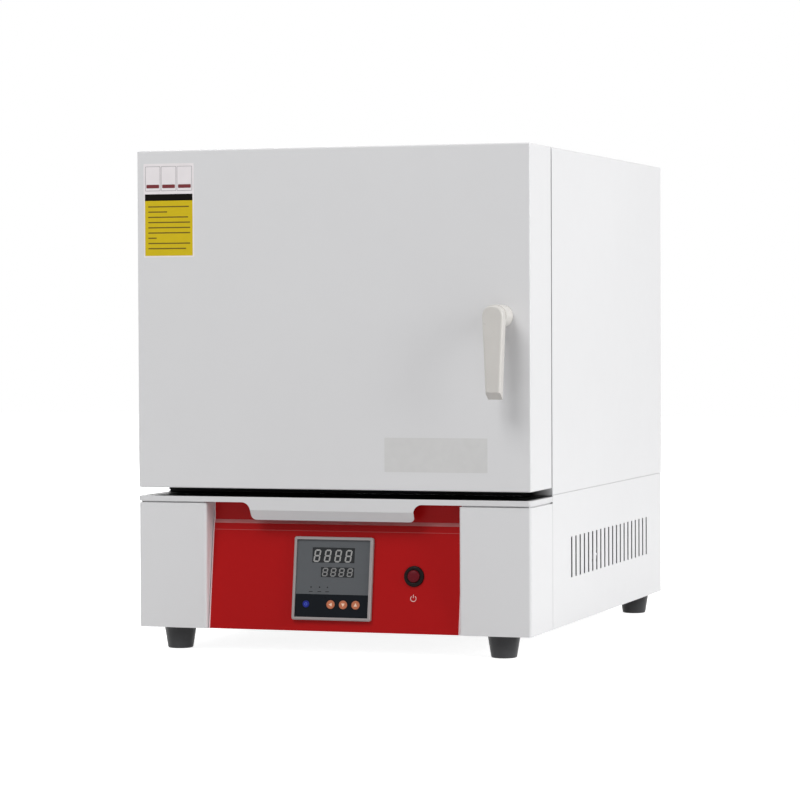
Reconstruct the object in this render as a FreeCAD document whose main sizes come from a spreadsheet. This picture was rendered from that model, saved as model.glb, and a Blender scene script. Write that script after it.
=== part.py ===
"""Box resistance furnace with a side-hung door, in millimetres.

The frame stands on z = 0 under the middle of the casing: x to the right, y to the back, z up.
Panel-mounted pieces share a leaning frame: x along the panel, y up the slope, z out of the panel.
"""
import FreeCAD, Part
import math
import os
import re
import Sketcher

Vector = FreeCAD.Vector
Placement = FreeCAD.Placement
Rotation = FreeCAD.Rotation
DOC = FreeCAD.newDocument("BoxFurnace")

# Driving dimensions
SIZES = {
    # Casing
    "casing_width": 476,
    "casing_depth": 625,
    "body_height": 399.7,
    "sheet": 1.2,
    "bend_radius": 2,
    "seam_line": 0.8,
    "seat_gap": 0.3,
    "dividing_thickness": 3,
    "dividing_lap": 1.2,
    # Base
    "base_height": 155.7,
    "floor_thickness": 1.5,
    "foot_height": 26,
    "foot_top_radius": 19,
    "foot_bottom_radius": 14.5,
    "foot_rim": 1.5,
    "foot_front_inset": 40,
    "foot_rear_inset": 28,
    "foot_front_setback": 28,
    "foot_rear_setback": 35,
    "foot_recess_radius": 8.5,
    "foot_recess_depth": 14,
    "foot_screw_radius": 3,
    "foot_screw_head_radius": 7,
    "foot_screw_head_height": 4.5,
    "foot_screw_end": 7,
    "bore_clearance": 0.2,
    # Front of the base
    "column_width": 84.4,
    "column_height": 145.7,
    "column_corner": 3,
    "column_inner_corner": 3,
    "column_return": 30,
    "neck_inset": 2.5,
    "ledge_height": 153.5,
    "ledge_flange": 6.1,
    "ledge_overhang": 1,
    "lip_width": 198,
    "lip_fold_height": 138.5,
    "lip_bottom_height": 127,
    "lip_tuck": 6.5,
    "lip_upper_round": 10.5,
    "lip_lower_round": 6,
    # Leaning panel
    "panel_lean": 8,
    "panel_toe": 3.4,
    "panel_thickness": 1.2,
    "backing_thickness": 1.2,
    "panel_side_gap": 0.9,
    "panel_crease": 117,
    "panel_band_bottom": 123,
    "panel_band_top": 127.6,
    "panel_crease_depth": 0.5,
    "panel_band_depth": 2.4,
    "panel_notch": 7,
    # Temperature controller
    "controller_offset": 1.6,
    "controller_height": 60.6,
    "bezel_size": 96,
    "bezel_window": 89.4,
    "bezel_depth": 5,
    "bezel_corner": 2.5,
    "bezel_chamfer": 1,
    "housing_size": 91,
    "housing_depth": 65,
    "cutout_size": 92,
    "face_size": 89,
    "face_thickness": 3,
    "key_plate_height": 26.3,
    "window_depth": 1.2,
    "main_window_width": 51.3,
    "main_window_height": 17.4,
    "main_window_rise": 27,
    "set_window_width": 40.3,
    "set_window_height": 11.4,
    "set_window_rise": 7.4,
    "set_window_shift": 5.6,
    "window_clearance": 0.1,
    # Keys
    "key_radius": 5,
    "set_key_radius": 4,
    "key_length": 3.1,
    "key_travel": 0.6,
    "key_dome": 0.7,
    "key_drop": 29.8,
    "key_pitch": 15.2,
    "key_shift": 14,
    "set_key_shift": 31.2,
    "key_clearance": 0.1,
    # Power button
    "button_offset": 95.9,
    "button_height": 65.5,
    "ring_radius": 12,
    "ring_depth": 2.6,
    "ring_bevel": 1,
    "barrel_radius": 11,
    "barrel_length": 30,
    "cap_radius": 7.2,
    "cap_length": 8,
    "cap_rise": 2.2,
    "cap_dome": 1.4,
    "cap_travel": 3,
    "cap_clearance": 0.1,
    "cap_well": 9.5,
    # Side vents
    "vent_count": 20,
    "vent_pitch": 19.37,
    "vent_width": 6.2,
    "vent_length": 48,
    "vent_bottom": 54,
    "vent_start": 175.2,
    # Body of the furnace
    "frame_thickness": 2,
    "chamber_width": 200,
    "chamber_height": 120,
    "chamber_depth": 300,
    "liner": 20,
    "mouth_step": 3,
    "mouth_depth": 32,
    "rear_wall": 110,
    "rear_vent_count": 7,
    "rear_vent_pitch": 16,
    "rear_vent_width": 120,
    "rear_vent_height": 6,
    # Heating
    "wire_radius": 3,
    "wire_gap": 0.3,
    "wire_pitch": 28,
    "wire_end_margin": 14,
    "wire_tail": 26,
    "terminal_radius": 9,
    "terminal_length": 18,
    "sheath_radius": 4,
    "sheath_reach": 40,
    "sheath_drop": 24,
    "sensor_head_radius": 13,
    "sensor_head_length": 24,
    # Door
    "door_depth": 87,
    "door_seam": 4,
    "door_lift": 7.6,
    "door_round": 1.5,
    "plug_clearance": 1,
    "plug_depth": 26,
    "plug_taper": 2,
    "plug_round": 4,
    "seal_margin": 7,
    "seal_width": 16,
    "seal_corner": 10,
    # Hinges
    "hinge_length": 60,
    "hinge_leaf": 3,
    "hinge_leaf_width": 32,
    "hinge_reveal": 2,
    "hinge_offset": 9,
    "hinge_end_distance": 40,
    "knuckle_radius": 5.5,
    "knuckle_gap": 0.3,
    "hinge_pin_radius": 2.9,
    "hinge_pin_clearance": 0.08,
    "hinge_pin_head": 2,
    # Handle and latch
    "handle_inset": 33,
    "handle_height": 205.6,
    "handle_reach": 39,
    "lever_thickness": 12,
    "lever_top_radius": 12.3,
    "lever_end_width": 16.6,
    "lever_length": 93.2,
    "lever_slant": 8.4,
    "lever_round": 2.5,
    "boss_radius": 13,
    "boss_gap": 0.3,
    "shaft_radius": 5,
    "shaft_clearance": 0.06,
    "shaft_depth_in_lever": 22,
    "bush_radius": 9,
    "bush_length": 14,
    "bush_flange_radius": 11.5,
    "bush_flange": 2,
    "shaft_hole_radius": 8,
    "pawl_gap": 2,
    "pawl_thickness": 5,
    "pawl_reach": 27,
    "pawl_width": 12,
    "pawl_hub_radius": 9,
    "latch_slot_width": 22,
    "latch_clearance": 3,
    # Wiring in the base
    "sink_width": 100,
    "sink_depth": 125,
    "sink_base": 6,
    "sink_fin_height": 26,
    "sink_fin": 2.5,
    "sink_fin_pitch": 9.75,
    "sink_offset": 90,
    "sink_setback": 130,
    "relay_width": 45,
    "relay_depth": 58,
    "relay_height": 23,
    "strip_width": 110,
    "strip_depth": 24,
    "strip_height": 20,
    "strip_setback": 70,
    "gland_offset": 150,
    "gland_height": 45,
    "gland_bore": 5,
    "gland_thread_radius": 8,
    "gland_body_radius": 12,
    "gland_body_length": 7,
    "gland_cap_radius": 10.5,
    "gland_cap_length": 12,
    "gland_nose_radius": 8,
    "gland_nose": 3,
    "gland_inside": 10,
}

# Places worked out from the driving dimensions
PLACES = {
    "half": "casing_width / 2",
    "inner_half": "half - sheet",
    "front": "-casing_depth / 2",
    "rear": "casing_depth / 2",
    "door_rear": "front + door_depth",
    "body_front": "door_rear + door_seam",
    "base_z": "foot_height",
    "floor_top": "base_z + floor_thickness",
    "body_z": "base_z + base_height",
    "top_z": "body_z + body_height",
    "door_z": "body_z + door_lift",
    "middle_z": "body_z + body_height / 2",
    "column_x": "half - column_width",
    "column_z": "base_z + column_height",
    "panel_width": "2 * (column_x - panel_side_gap)",
    "mouth_width": "chamber_width + 2 * mouth_step",
    "mouth_height": "chamber_height + 2 * mouth_step",
    "plug_width": "chamber_width - 2 * plug_clearance",
    "plug_height": "chamber_height - 2 * plug_clearance",
    "ledge_z": "base_z + ledge_height",
    "ledge_under": "ledge_z - sheet",
    "flange_z": "ledge_z - ledge_flange",
    "frame_rear": "body_front + frame_thickness",
    "mouth_rear": "body_front + mouth_depth",
    "chamber_rear": "mouth_rear + chamber_depth",
    "bay_front": "chamber_rear + rear_wall",
    "liner_x": "chamber_width / 2 + liner",
    "liner_bottom": "middle_z - chamber_height / 2 - liner",
    "liner_top": "middle_z + chamber_height / 2 + liner",
    "wire_x": "chamber_width / 2 + wire_gap + wire_radius",
    "wire_front": "mouth_rear + wire_end_margin",
    "wire_back": "chamber_rear - wire_end_margin",
    "wire_end": "bay_front + sheet + wire_tail",
    "lowest_wire_z": "middle_z - 3 / 2 * wire_pitch",
    "highest_wire_z": "middle_z + 3 / 2 * wire_pitch",
    "sensor_z": "middle_z + chamber_height / 2 - sheath_drop",
    "hinge_x": "-half - hinge_offset",
    "hinge_y": "body_front",
    "upper_hinge_z": "top_z - hinge_end_distance - hinge_length",
    "lower_hinge_z": "door_z + hinge_end_distance",
    "handle_x": "half - handle_inset",
    "handle_z": "body_z + handle_height",
    "lever_front": "front - handle_reach",
    "lever_back": "lever_front + lever_thickness",
    "pawl_front": "frame_rear + pawl_gap",
    "pawl_rear": "pawl_front + pawl_thickness",
    "controller_low": "controller_height - face_size / 2",
    "controller_high": "controller_height + face_size / 2",
    "key_plate_top": "controller_low + key_plate_height",
    "key_row": "controller_height - key_drop",
    "centre_x": "(hinge_offset + knuckle_radius) / 2",
    "centre_y": "(handle_reach - gland_body_length - gland_cap_length) / 2",
}

NAMES = re.compile(r"[a-z]\w*")
NODES = []
MOVES = {}


def sheet_name(word):
    """The spreadsheet that holds a word, as the start of its reference."""
    if word in SIZES:
        return "Sizes."
    if word in PLACES:
        return "Places."
    return ""


def ref(formula):
    """Write a formula's words as references to the two spreadsheets."""
    return NAMES.sub(lambda found: sheet_name(found.group()) + found.group(), str(formula))


def fill_sheet(label, cells):
    """Make a spreadsheet with one aliased cell for each entry."""
    sheet = DOC.addObject("Spreadsheet::Sheet", label)
    for row, (alias, content) in enumerate(cells.items(), start=1):
        sheet.set(f"A{row}", alias)
        sheet.set(f"B{row}", content)
        sheet.setAlias(f"B{row}", alias)
    return sheet


SHEET = fill_sheet("Sizes", {alias: str(size) for alias, size in SIZES.items()})
DOC.recompute()
fill_sheet("Places", {alias: "=" + ref(formula) for alias, formula in PLACES.items()})
DOC.recompute()


def value(formula):
    """The present value of a formula."""
    return float(SHEET.evalExpression(ref(formula)))


def bind(thing, prop, formula):
    thing.setExpression(prop, ref(formula))


def move_to(thing, x="0", y="0", z="0"):
    """Bind the place of an object."""
    MOVES[thing.Name] = (x, y, z)
    bind(thing, "Placement.Base.x", x)
    bind(thing, "Placement.Base.y", y)
    bind(thing, "Placement.Base.z", z)


def export(thing):
    """Keep an object as a sub-part that gets its own file."""
    NODES.append(thing)
    return thing


def centre(thing):
    """Shift a finished sub-part, so that the origin lies under the middle of the whole furnace."""
    x, y, z = MOVES.get(thing.Name, ("0", "0", "0"))
    move_to(thing, f"{x} + centre_x", f"{y} + centre_y", z)


# Solid primitives and booleans

def block(name, x, y, z):
    """A box from its lower to its higher bound on each axis."""
    box = DOC.addObject("Part::Box", name)
    bind(box, "Length", f"({x[1]}) - ({x[0]})")
    bind(box, "Width", f"({y[1]}) - ({y[0]})")
    bind(box, "Height", f"({z[1]}) - ({z[0]})")
    move_to(box, x[0], y[0], z[0])
    return box


def rod(name, radius, start, length, axis="z"):
    """A cylinder from a start point along an axis."""
    turns = {
        "x": Rotation(Vector(0, 1, 0), 90),
        "y": Rotation(Vector(1, 0, 0), -90),
        "z": Rotation(),
    }
    cylinder = DOC.addObject("Part::Cylinder", name)
    cylinder.Placement = Placement(Vector(), turns[axis])
    bind(cylinder, "Radius", radius)
    bind(cylinder, "Height", length)
    move_to(cylinder, *start)
    return cylinder


def fuse(name, pieces):
    joined = DOC.addObject("Part::MultiFuse", name)
    joined.Shapes = pieces
    return joined


def cut(name, piece, tools):
    """A piece with one or more tools taken out of it."""
    result = DOC.addObject("Part::Cut", name)
    result.Base = piece
    result.Tool = tools[0] if len(tools) == 1 else fuse(name + "_tools", tools)
    return result


def group(name, pieces):
    """Several separate solids in one node."""
    result = DOC.addObject("Part::Compound", name)
    result.Links = pieces
    return result


# Bodies with sketches

def new_body(name):
    return DOC.addObject("PartDesign::Body", name)


def new_sketch(body, name, role, offset="0"):
    """A sketch on one of the body's own origin planes, shifted along the plane's normal."""
    sketch = body.newObject("Sketcher::SketchObject", name)
    plane = [feature for feature in body.Origin.OriginFeatures if feature.Role == role][0]
    sketch.AttachmentSupport = [(plane, "")]
    sketch.MapMode = "FlatFace"
    bind(sketch, "AttachmentOffset.Base.z", offset)
    return sketch


def fix_point(sketch, geometry, end, x, y, tag):
    """Hold a point of the sketch at two formulas from the sketch's origin."""
    for kind, formula, letter in (("DistanceX", x, "x"), ("DistanceY", y, "y")):
        sketch.addConstraint(Sketcher.Constraint(kind, -1, 1, geometry, end, value(formula)))
        index = sketch.ConstraintCount - 1
        sketch.renameConstraint(index, f"{letter}_{tag}")
        bind(sketch, f"Constraints.{letter}_{tag}", formula)


def set_radius(sketch, geometry, formula, tag):
    sketch.addConstraint(Sketcher.Constraint("Radius", geometry, value(formula)))
    sketch.renameConstraint(sketch.ConstraintCount - 1, f"radius_{tag}")
    bind(sketch, f"Constraints.radius_{tag}", formula)


def corner_arc(before, corner, after, radius):
    """A rounding's first and last point along the outline, and its arc, drawn anticlockwise."""
    back = (before - corner).normalize()
    ahead = (after - corner).normalize()
    half_angle = back.getAngle(ahead) / 2
    reach = radius / math.tan(half_angle)
    bisector = (back + ahead).normalize()
    middle = corner + bisector * (radius / math.sin(half_angle) - radius)
    first, last = corner + back * reach, corner + ahead * reach
    anticlockwise = (middle - first).cross(last - middle).z > 0
    arc = Part.Arc(first, middle, last) if anticlockwise else Part.Arc(last, middle, first)
    return first, last, arc, anticlockwise


def outline(sketch, corners, tag="p"):
    """A closed outline; each corner is (x, y) or (x, y, rounding radius)."""
    points = [Vector(value(corner[0]), value(corner[1]), 0) for corner in corners]
    count = len(corners)
    starts, ends, arcs = list(points), list(points), {}
    for index, corner in enumerate(corners):
        if len(corner) == 3:
            before, after = points[index - 1], points[(index + 1) % count]
            ends[index], starts[index], arc, anticlockwise = corner_arc(
                before, points[index], after, value(corner[2]))
            arcs[index] = (arc, anticlockwise)
    lines = [
        sketch.addGeometry(Part.LineSegment(starts[index], ends[(index + 1) % count]), False)
        for index in range(count)
    ]
    for index, corner in enumerate(corners):
        incoming, outgoing = lines[index - 1], lines[index]
        if index in arcs:
            round_corner(sketch, arcs[index], incoming, outgoing, corner, points[index], f"{tag}{index}")
        else:
            sketch.addConstraint(Sketcher.Constraint("Coincident", incoming, 2, outgoing, 1))
            fix_point(sketch, outgoing, 1, corner[0], corner[1], f"{tag}{index}")


def round_corner(sketch, arc, incoming, outgoing, corner, point, tag):
    """Join two lines by a tangent arc whose sharp corner stays at its formulas."""
    curve = sketch.addGeometry(arc[0], False)
    first, last = (1, 2) if arc[1] else (2, 1)
    sharp = sketch.addGeometry(Part.Point(point), True)
    sketch.addConstraint(Sketcher.Constraint("Tangent", incoming, 2, curve, first))
    sketch.addConstraint(Sketcher.Constraint("Tangent", outgoing, 1, curve, last))
    sketch.addConstraint(Sketcher.Constraint("PointOnObject", sharp, 1, incoming))
    sketch.addConstraint(Sketcher.Constraint("PointOnObject", sharp, 1, outgoing))
    fix_point(sketch, sharp, 1, corner[0], corner[1], tag)
    set_radius(sketch, curve, corner[2], tag)


def rectangle(sketch, x, y, radius=None, tag="p"):
    """A rectangle from its lower to its higher bounds, with rounded corners if asked."""
    ends = [(x[0], y[0]), (x[1], y[0]), (x[1], y[1]), (x[0], y[1])]
    outline(sketch, [end + (radius,) for end in ends] if radius else ends, tag)


def circle(sketch, x, y, radius, tag="c"):
    centre = Vector(value(x), value(y), 0)
    ring = sketch.addGeometry(Part.Circle(centre, Vector(0, 0, 1), value(radius)), False)
    fix_point(sketch, ring, 3, x, y, tag)
    set_radius(sketch, ring, radius, tag)


def pad(body, sketch, length, backwards=False, both=False):
    feature = body.newObject("PartDesign::Pad", sketch.Name + "_pad")
    feature.Profile = sketch
    feature.Reversed = backwards
    feature.Midplane = both
    bind(feature, "Length", length)
    DOC.recompute()
    return feature


def take_away(body, feature, before):
    """Stop if a cut has left the volume as it was."""
    DOC.recompute()
    if feature.Shape.Volume > before - 1e-3:
        raise RuntimeError(feature.Name + " cuts nothing")
    return feature


def pocket(body, sketch, depth=None, backwards=False, both=False):
    """A pocket of one depth, or right through in both directions where no depth is given."""
    before = body.Tip.Shape.Volume
    feature = body.newObject("PartDesign::Pocket", sketch.Name + "_pocket")
    feature.Profile = sketch
    feature.Reversed = backwards
    feature.Midplane = both or depth is None
    if depth is None:
        feature.Type = "ThroughAll"
    else:
        bind(feature, "Length", depth)
    return take_away(body, feature, before)


def repeat(body, feature, sketch, axis, pitch, count):
    """Repeat a feature along an axis of its sketch."""
    pattern = body.newObject("PartDesign::LinearPattern", feature.Name + "_pattern")
    pattern.Originals = [feature]
    pattern.Direction = (sketch, [axis])
    pattern.Mode = "Spacing"
    bind(pattern, "Offset", pitch)
    bind(pattern, "Occurrences", count)
    body.Tip = pattern
    DOC.recompute()
    return pattern


def revolve(body, sketch):
    """Turn a sketch round its own vertical axis."""
    feature = body.newObject("PartDesign::Revolution", sketch.Name + "_turn")
    feature.Profile = sketch
    feature.ReferenceAxis = (sketch, ["V_Axis"])
    feature.Angle = 360
    DOC.recompute()
    return feature


def round_edges(body, radius, wanted, kind="PartDesign::Fillet", prop="Radius"):
    """Round or bevel the edges of the body's tip whose middle and direction are wanted."""
    base = body.Tip
    names = []
    for index, edge in enumerate(base.Shape.Edges, start=1):
        middle = edge.valueAt((edge.FirstParameter + edge.LastParameter) / 2)
        if wanted(edge, middle):
            names.append(f"Edge{index}")
    feature = body.newObject(kind, f"{base.Name}_{prop.lower()}")
    feature.Base = (base, names)
    bind(feature, prop, radius)
    body.Tip = feature
    DOC.recompute()
    return feature


CHAMFER = ("PartDesign::Chamfer", "Size")


def near(first, second):
    return abs(first - second) < 1e-4


# Base of the furnace

def make_base_floor():
    """Bottom plate with a notch behind the toe of the leaning panel."""
    body = new_body("base_floor")
    plan = new_sketch(body, "floor_plan", "XY_Plane", "base_z")
    outline(plan, [
        ("-half", "rear"),
        ("-half", "front", "column_corner"),
        ("-column_x", "front"),
        ("-column_x", "front + panel_notch"),
        ("column_x", "front + panel_notch"),
        ("column_x", "front"),
        ("half", "front", "column_corner"),
        ("half", "rear"),
    ])
    pad(body, plan, "floor_thickness")
    holes = new_sketch(body, "floor_holes", "XY_Plane", "base_z")
    for name, x, y in FOOT_PLACES:
        circle(holes, x, y, "foot_screw_radius + bore_clearance", name)
    pocket(body, holes)
    export(body)


FOOT_PLACES = [
    ("front_left", "-half + foot_front_inset", "front + foot_front_setback"),
    ("front_right", "half - foot_front_inset", "front + foot_front_setback"),
    ("rear_left", "-half + foot_rear_inset", "rear - foot_rear_setback"),
    ("rear_right", "half - foot_rear_inset", "rear - foot_rear_setback"),
]


def make_feet():
    """Four tapered rubber feet in one node."""
    export(group("feet", [make_foot(name, x, y) for name, x, y in FOOT_PLACES]))


def make_foot(name, x, y):
    """Tapered rubber foot with a recess for its screw."""
    body = new_body(name + "_foot")
    profile = new_sketch(body, name + "_foot_profile", "XZ_Plane")
    outline(profile, [
        ("foot_recess_radius", "0"),
        ("foot_bottom_radius - foot_rim", "0"),
        ("foot_bottom_radius", "foot_rim"),
        ("foot_top_radius", "foot_height"),
        ("foot_screw_radius + bore_clearance", "foot_height"),
        ("foot_screw_radius + bore_clearance", "foot_recess_depth"),
        ("foot_recess_radius", "foot_recess_depth"),
    ])
    revolve(body, profile)
    move_to(body, x, y)
    return body


def make_foot_screws():
    """One screw up through each foot and the base floor."""
    screws = []
    for name, x, y in FOOT_PLACES:
        head_z = "foot_recess_depth - foot_screw_head_height"
        head = rod(name + "_head", "foot_screw_head_radius", (x, y, head_z), "foot_screw_head_height")
        shank = rod(name + "_shank", "foot_screw_radius", (x, y, "foot_recess_depth"),
                    "floor_top + foot_screw_end - foot_recess_depth")
        screws.append(fuse(name + "_screw", [head, shank]))
    export(group("foot_screws", screws))


def make_base_wrap():
    """Sides and back of the base in one folded sheet, with vent slots and the gland's hole."""
    body = new_body("base_wrap")
    plan = new_sketch(body, "wrap_plan", "XY_Plane", "floor_top")
    start = "body_front + seam_line"
    outline(plan, [
        ("-half", start),
        ("-half", "rear", "bend_radius"),
        ("half", "rear", "bend_radius"),
        ("half", start),
        ("inner_half", start),
        ("inner_half", "rear - sheet"),
        ("-inner_half", "rear - sheet"),
        ("-inner_half", start),
    ])
    pad(body, plan, "body_z - seam_line - floor_top")
    vent = new_sketch(body, "vent_slot", "YZ_Plane")
    middle = "front + vent_start"
    bottom = "base_z + vent_bottom"
    rectangle(vent, (f"{middle} - vent_width / 2", f"{middle} + vent_width / 2"),
              (bottom, f"{bottom} + vent_length"))
    slot = pocket(body, vent)
    repeat(body, slot, vent, "H_Axis", "vent_pitch", "vent_count")
    opening = new_sketch(body, "gland_hole", "XZ_Plane", "-rear")
    circle(opening, "gland_offset", "base_z + gland_height", "gland_thread_radius + bore_clearance")
    pocket(body, opening, "4 * sheet", both=True)
    export(body)


def make_column(name, side):
    """Front column: a folded channel with a closed top and a narrower neck under the ledge."""
    outer, inner = f"{side} * half", f"{side} * column_x"
    outer_in, inner_in = f"{side} * inner_half", f"{side} * (column_x + sheet)"
    body = new_body(name)
    plan = new_sketch(body, name + "_plan", "XY_Plane", "floor_top")
    outline(plan, [
        (outer, "body_front"),
        (outer, "front", "column_corner"),
        (inner, "front", "column_inner_corner"),
        (inner, "body_front"),
    ])
    pad(body, plan, "column_z - floor_top")
    hollow = new_sketch(body, name + "_hollow", "XY_Plane", "floor_top")
    outline(hollow, [
        (outer_in, "body_front + sheet"),
        (outer_in, "front + sheet", "column_corner - sheet"),
        (inner_in, "front + sheet", "column_inner_corner - sheet"),
        (inner_in, "front + column_return"),
        (f"{side} * (column_x - sheet)", "front + column_return"),
        (f"{side} * (column_x - sheet)", "body_front + sheet"),
    ])
    pocket(body, hollow, "column_z - sheet - floor_top", backwards=True)
    neck = new_sketch(body, name + "_neck", "XY_Plane", "column_z")
    rectangle(neck, (f"{side} * (column_x + neck_inset)", f"{side} * (half - neck_inset)"),
              ("front + neck_inset", "body_front - neck_inset"))
    pad(body, neck, "ledge_under - column_z")
    export(body)


def make_ledge():
    """Top cover of the base front: a shallow pan with a drooping, tucked-in lip."""
    body = new_body("ledge")
    plan = new_sketch(body, "ledge_plan", "XY_Plane", "flange_z")
    outline(plan, [
        ("-half", "body_front"),
        ("-half", "front - ledge_overhang", "column_corner"),
        ("half", "front - ledge_overhang", "column_corner"),
        ("half", "body_front"),
    ])
    pad(body, plan, "ledge_flange")
    hollow = new_sketch(body, "ledge_hollow", "XY_Plane", "flange_z")
    face_in = "front - ledge_overhang + sheet"
    outline(hollow, [
        ("-inner_half", "body_front + sheet"),
        ("-inner_half", face_in, "column_corner - sheet"),
        ("inner_half", face_in, "column_corner - sheet"),
        ("inner_half", "body_front + sheet"),
    ])
    pocket(body, hollow, "ledge_flange - sheet", backwards=True)
    face = "front - ledge_overhang"
    fold, bottom = "base_z + lip_fold_height", "base_z + lip_bottom_height"
    section = new_sketch(body, "lip_section", "YZ_Plane")
    outline(section, [
        (face, "flange_z"),
        (face, fold),
        (f"{face} + lip_tuck", bottom),
        (f"{face} + lip_tuck + sheet", bottom),
        (f"{face} + sheet", fold),
        (f"{face} + sheet", "flange_z"),
    ])
    pad(body, section, "lip_width + 4 * lip_upper_round", both=True)
    for side, name in (("-1", "left"), ("1", "right")):
        trim = new_sketch(body, f"lip_{name}_trim", "XZ_Plane", f"-({face})")
        edge, far = f"{side} * lip_width / 2", f"{side} * (lip_width / 2 + 4 * lip_upper_round)"
        within = f"{side} * (lip_width / 2 - 2 * lip_lower_round)"
        outline(trim, [
            (far, "flange_z"),
            (edge, "flange_z", "lip_upper_round"),
            (edge, bottom, "lip_lower_round"),
            (within, bottom),
            (within, f"{bottom} - sheet"),
            (far, f"{bottom} - sheet"),
        ])
        pocket(body, trim)
    top, line = value("ledge_z"), value(face)
    round_edges(body, "sheet / 2",
                lambda edge, middle: near(middle.z, top) and middle.y < line + value("column_corner"))
    export(body)


# Pieces in the leaning frame of the panel

def lean(body):
    """Stand a body in the panel's frame."""
    body.Placement = Placement(Vector(), Rotation(Vector(1, 0, 0), 90))
    bind(body, "Placement.Rotation.Angle", "90 - panel_lean")
    move_to(body, "0", "front + panel_toe", "base_z")


def panel_profile(depth):
    """Side line of the panel, as (height up the slope, depth) from toe to top, set back by a depth."""
    rise = "ledge_under - base_z"
    top_height = f"(({rise}) - seat_gap) * cos(panel_lean)"
    step_drop = "panel_band_top"
    run = f"(({top_height}) - {step_drop})"
    return [
        ("0", f"-({depth})"),
        ("panel_crease", f"-({depth})"),
        ("panel_band_bottom", f"-(panel_crease_depth + {depth})"),
        ("panel_band_top", f"-(panel_band_depth + {depth})"),
        (top_height, f"{run} * tan(panel_lean) - panel_band_depth - ({depth})"),
    ]


def make_panel_sheet(name, width, depth, thickness):
    """A leaning folded sheet with the controller's and the button's cut-outs."""
    body = new_body(name)
    side = new_sketch(body, name + "_side", "YZ_Plane")
    face = panel_profile(depth)
    back = panel_profile(f"{depth} + {thickness}")
    outline(side, face + back[::-1])
    pad(body, side, width, both=True)
    openings = new_sketch(body, name + "_openings", "XY_Plane")
    rectangle(openings, ("-controller_offset - cutout_size / 2", "-controller_offset + cutout_size / 2"),
              ("controller_height - cutout_size / 2", "controller_height + cutout_size / 2"))
    circle(openings, "button_offset", "button_height", "barrel_radius + bore_clearance")
    pocket(body, openings)
    lean(body)
    export(body)


def square(sketch, size, radius=None):
    """A square about the controller's middle."""
    rectangle(sketch, (f"-controller_offset - {size} / 2", f"-controller_offset + {size} / 2"),
              (f"controller_height - {size} / 2", f"controller_height + {size} / 2"), radius)


def make_bezel():
    body = new_body("controller_bezel")
    rim = new_sketch(body, "bezel_rim", "XY_Plane")
    square(rim, "bezel_size", "bezel_corner")
    pad(body, rim, "bezel_depth")
    window = new_sketch(body, "bezel_window_cut", "XY_Plane")
    square(window, "bezel_window")
    pocket(body, window)
    height, reach = value("bezel_depth"), value("bezel_window") / 2 + 1
    middle_x, middle_y = -value("controller_offset"), value("controller_height")
    round_edges(body, "bezel_chamfer",
                lambda edge, middle: near(middle.z, height)
                and max(abs(middle.x - middle_x), abs(middle.y - middle_y)) > reach,
                "PartDesign::Chamfer", "Size")
    lean(body)
    export(body)


def make_housing():
    body = new_body("controller_housing")
    case = new_sketch(body, "housing_case", "XY_Plane")
    square(case, "housing_size")
    pad(body, case, "housing_depth", backwards=True)
    lean(body)
    export(body)


FACE_X = ("-controller_offset - face_size / 2", "-controller_offset + face_size / 2")
WINDOWS = [
    ("main", "-controller_offset", "controller_height + main_window_rise"),
    ("set", "-controller_offset + set_window_shift", "controller_height + set_window_rise"),
]


def window_bounds(name, x, y, extra="0"):
    """Bounds of a display window about its middle."""
    width, height = f"({name}_window_width / 2 + {extra})", f"({name}_window_height / 2 + {extra})"
    return (f"{x} - {width}", f"{x} + {width}"), (f"{y} - {height}", f"{y} + {height}")


def make_display_face():
    """Upper part of the controller's face, with recesses for the two windows."""
    body = new_body("display_face")
    plate = new_sketch(body, "display_plate", "XY_Plane")
    rectangle(plate, FACE_X, ("key_plate_top", "controller_high"))
    pad(body, plate, "face_thickness")
    recess = new_sketch(body, "window_recess", "XY_Plane", "face_thickness")
    for name, x, y in WINDOWS:
        bounds = window_bounds(name, x, y, "window_clearance")
        rectangle(recess, bounds[0], bounds[1], tag=name)
    pocket(body, recess, "window_depth")
    lean(body)
    export(body)


def make_display_windows():
    """The two dark windows, each its own solid."""
    panes = []
    for name, x, y in WINDOWS:
        body = new_body(name + "_window")
        pane = new_sketch(body, name + "_pane", "XY_Plane", "face_thickness - window_depth")
        bounds = window_bounds(name, x, y)
        rectangle(pane, bounds[0], bounds[1])
        pad(body, pane, "window_depth")
        lean(body)
        panes.append(body)
    export(group("display_windows", panes))


KEYS = [
    ("set_key", "-controller_offset - set_key_shift", "set_key_radius"),
    ("left_key", "-controller_offset + key_shift - key_pitch", "key_radius"),
    ("down_key", "-controller_offset + key_shift", "key_radius"),
    ("up_key", "-controller_offset + key_shift + key_pitch", "key_radius"),
]


def make_key_plate():
    """Lower part of the controller's face, with a hole for each key."""
    body = new_body("key_plate")
    plate = new_sketch(body, "key_plate_outline", "XY_Plane")
    rectangle(plate, FACE_X, ("controller_low", "key_plate_top"))
    pad(body, plate, "face_thickness")
    holes = new_sketch(body, "key_holes", "XY_Plane")
    for name, x, radius in KEYS:
        circle(holes, x, "key_row", f"{radius} + key_clearance", name)
    pocket(body, holes)
    lean(body)
    export(body)


def make_key(name, x, radius):
    """Round key with a soft edge, held off the housing by its travel."""
    body = new_body(name)
    rest = "key_travel + key_clearance"
    disc = new_sketch(body, name + "_disc", "XY_Plane", rest)
    circle(disc, x, "key_row", radius)
    pad(body, disc, "key_length")
    top = value(f"{rest} + key_length")
    round_edges(body, "key_dome", lambda edge, middle: near(middle.z, top), *CHAMFER)
    lean(body)
    export(body)


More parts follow.
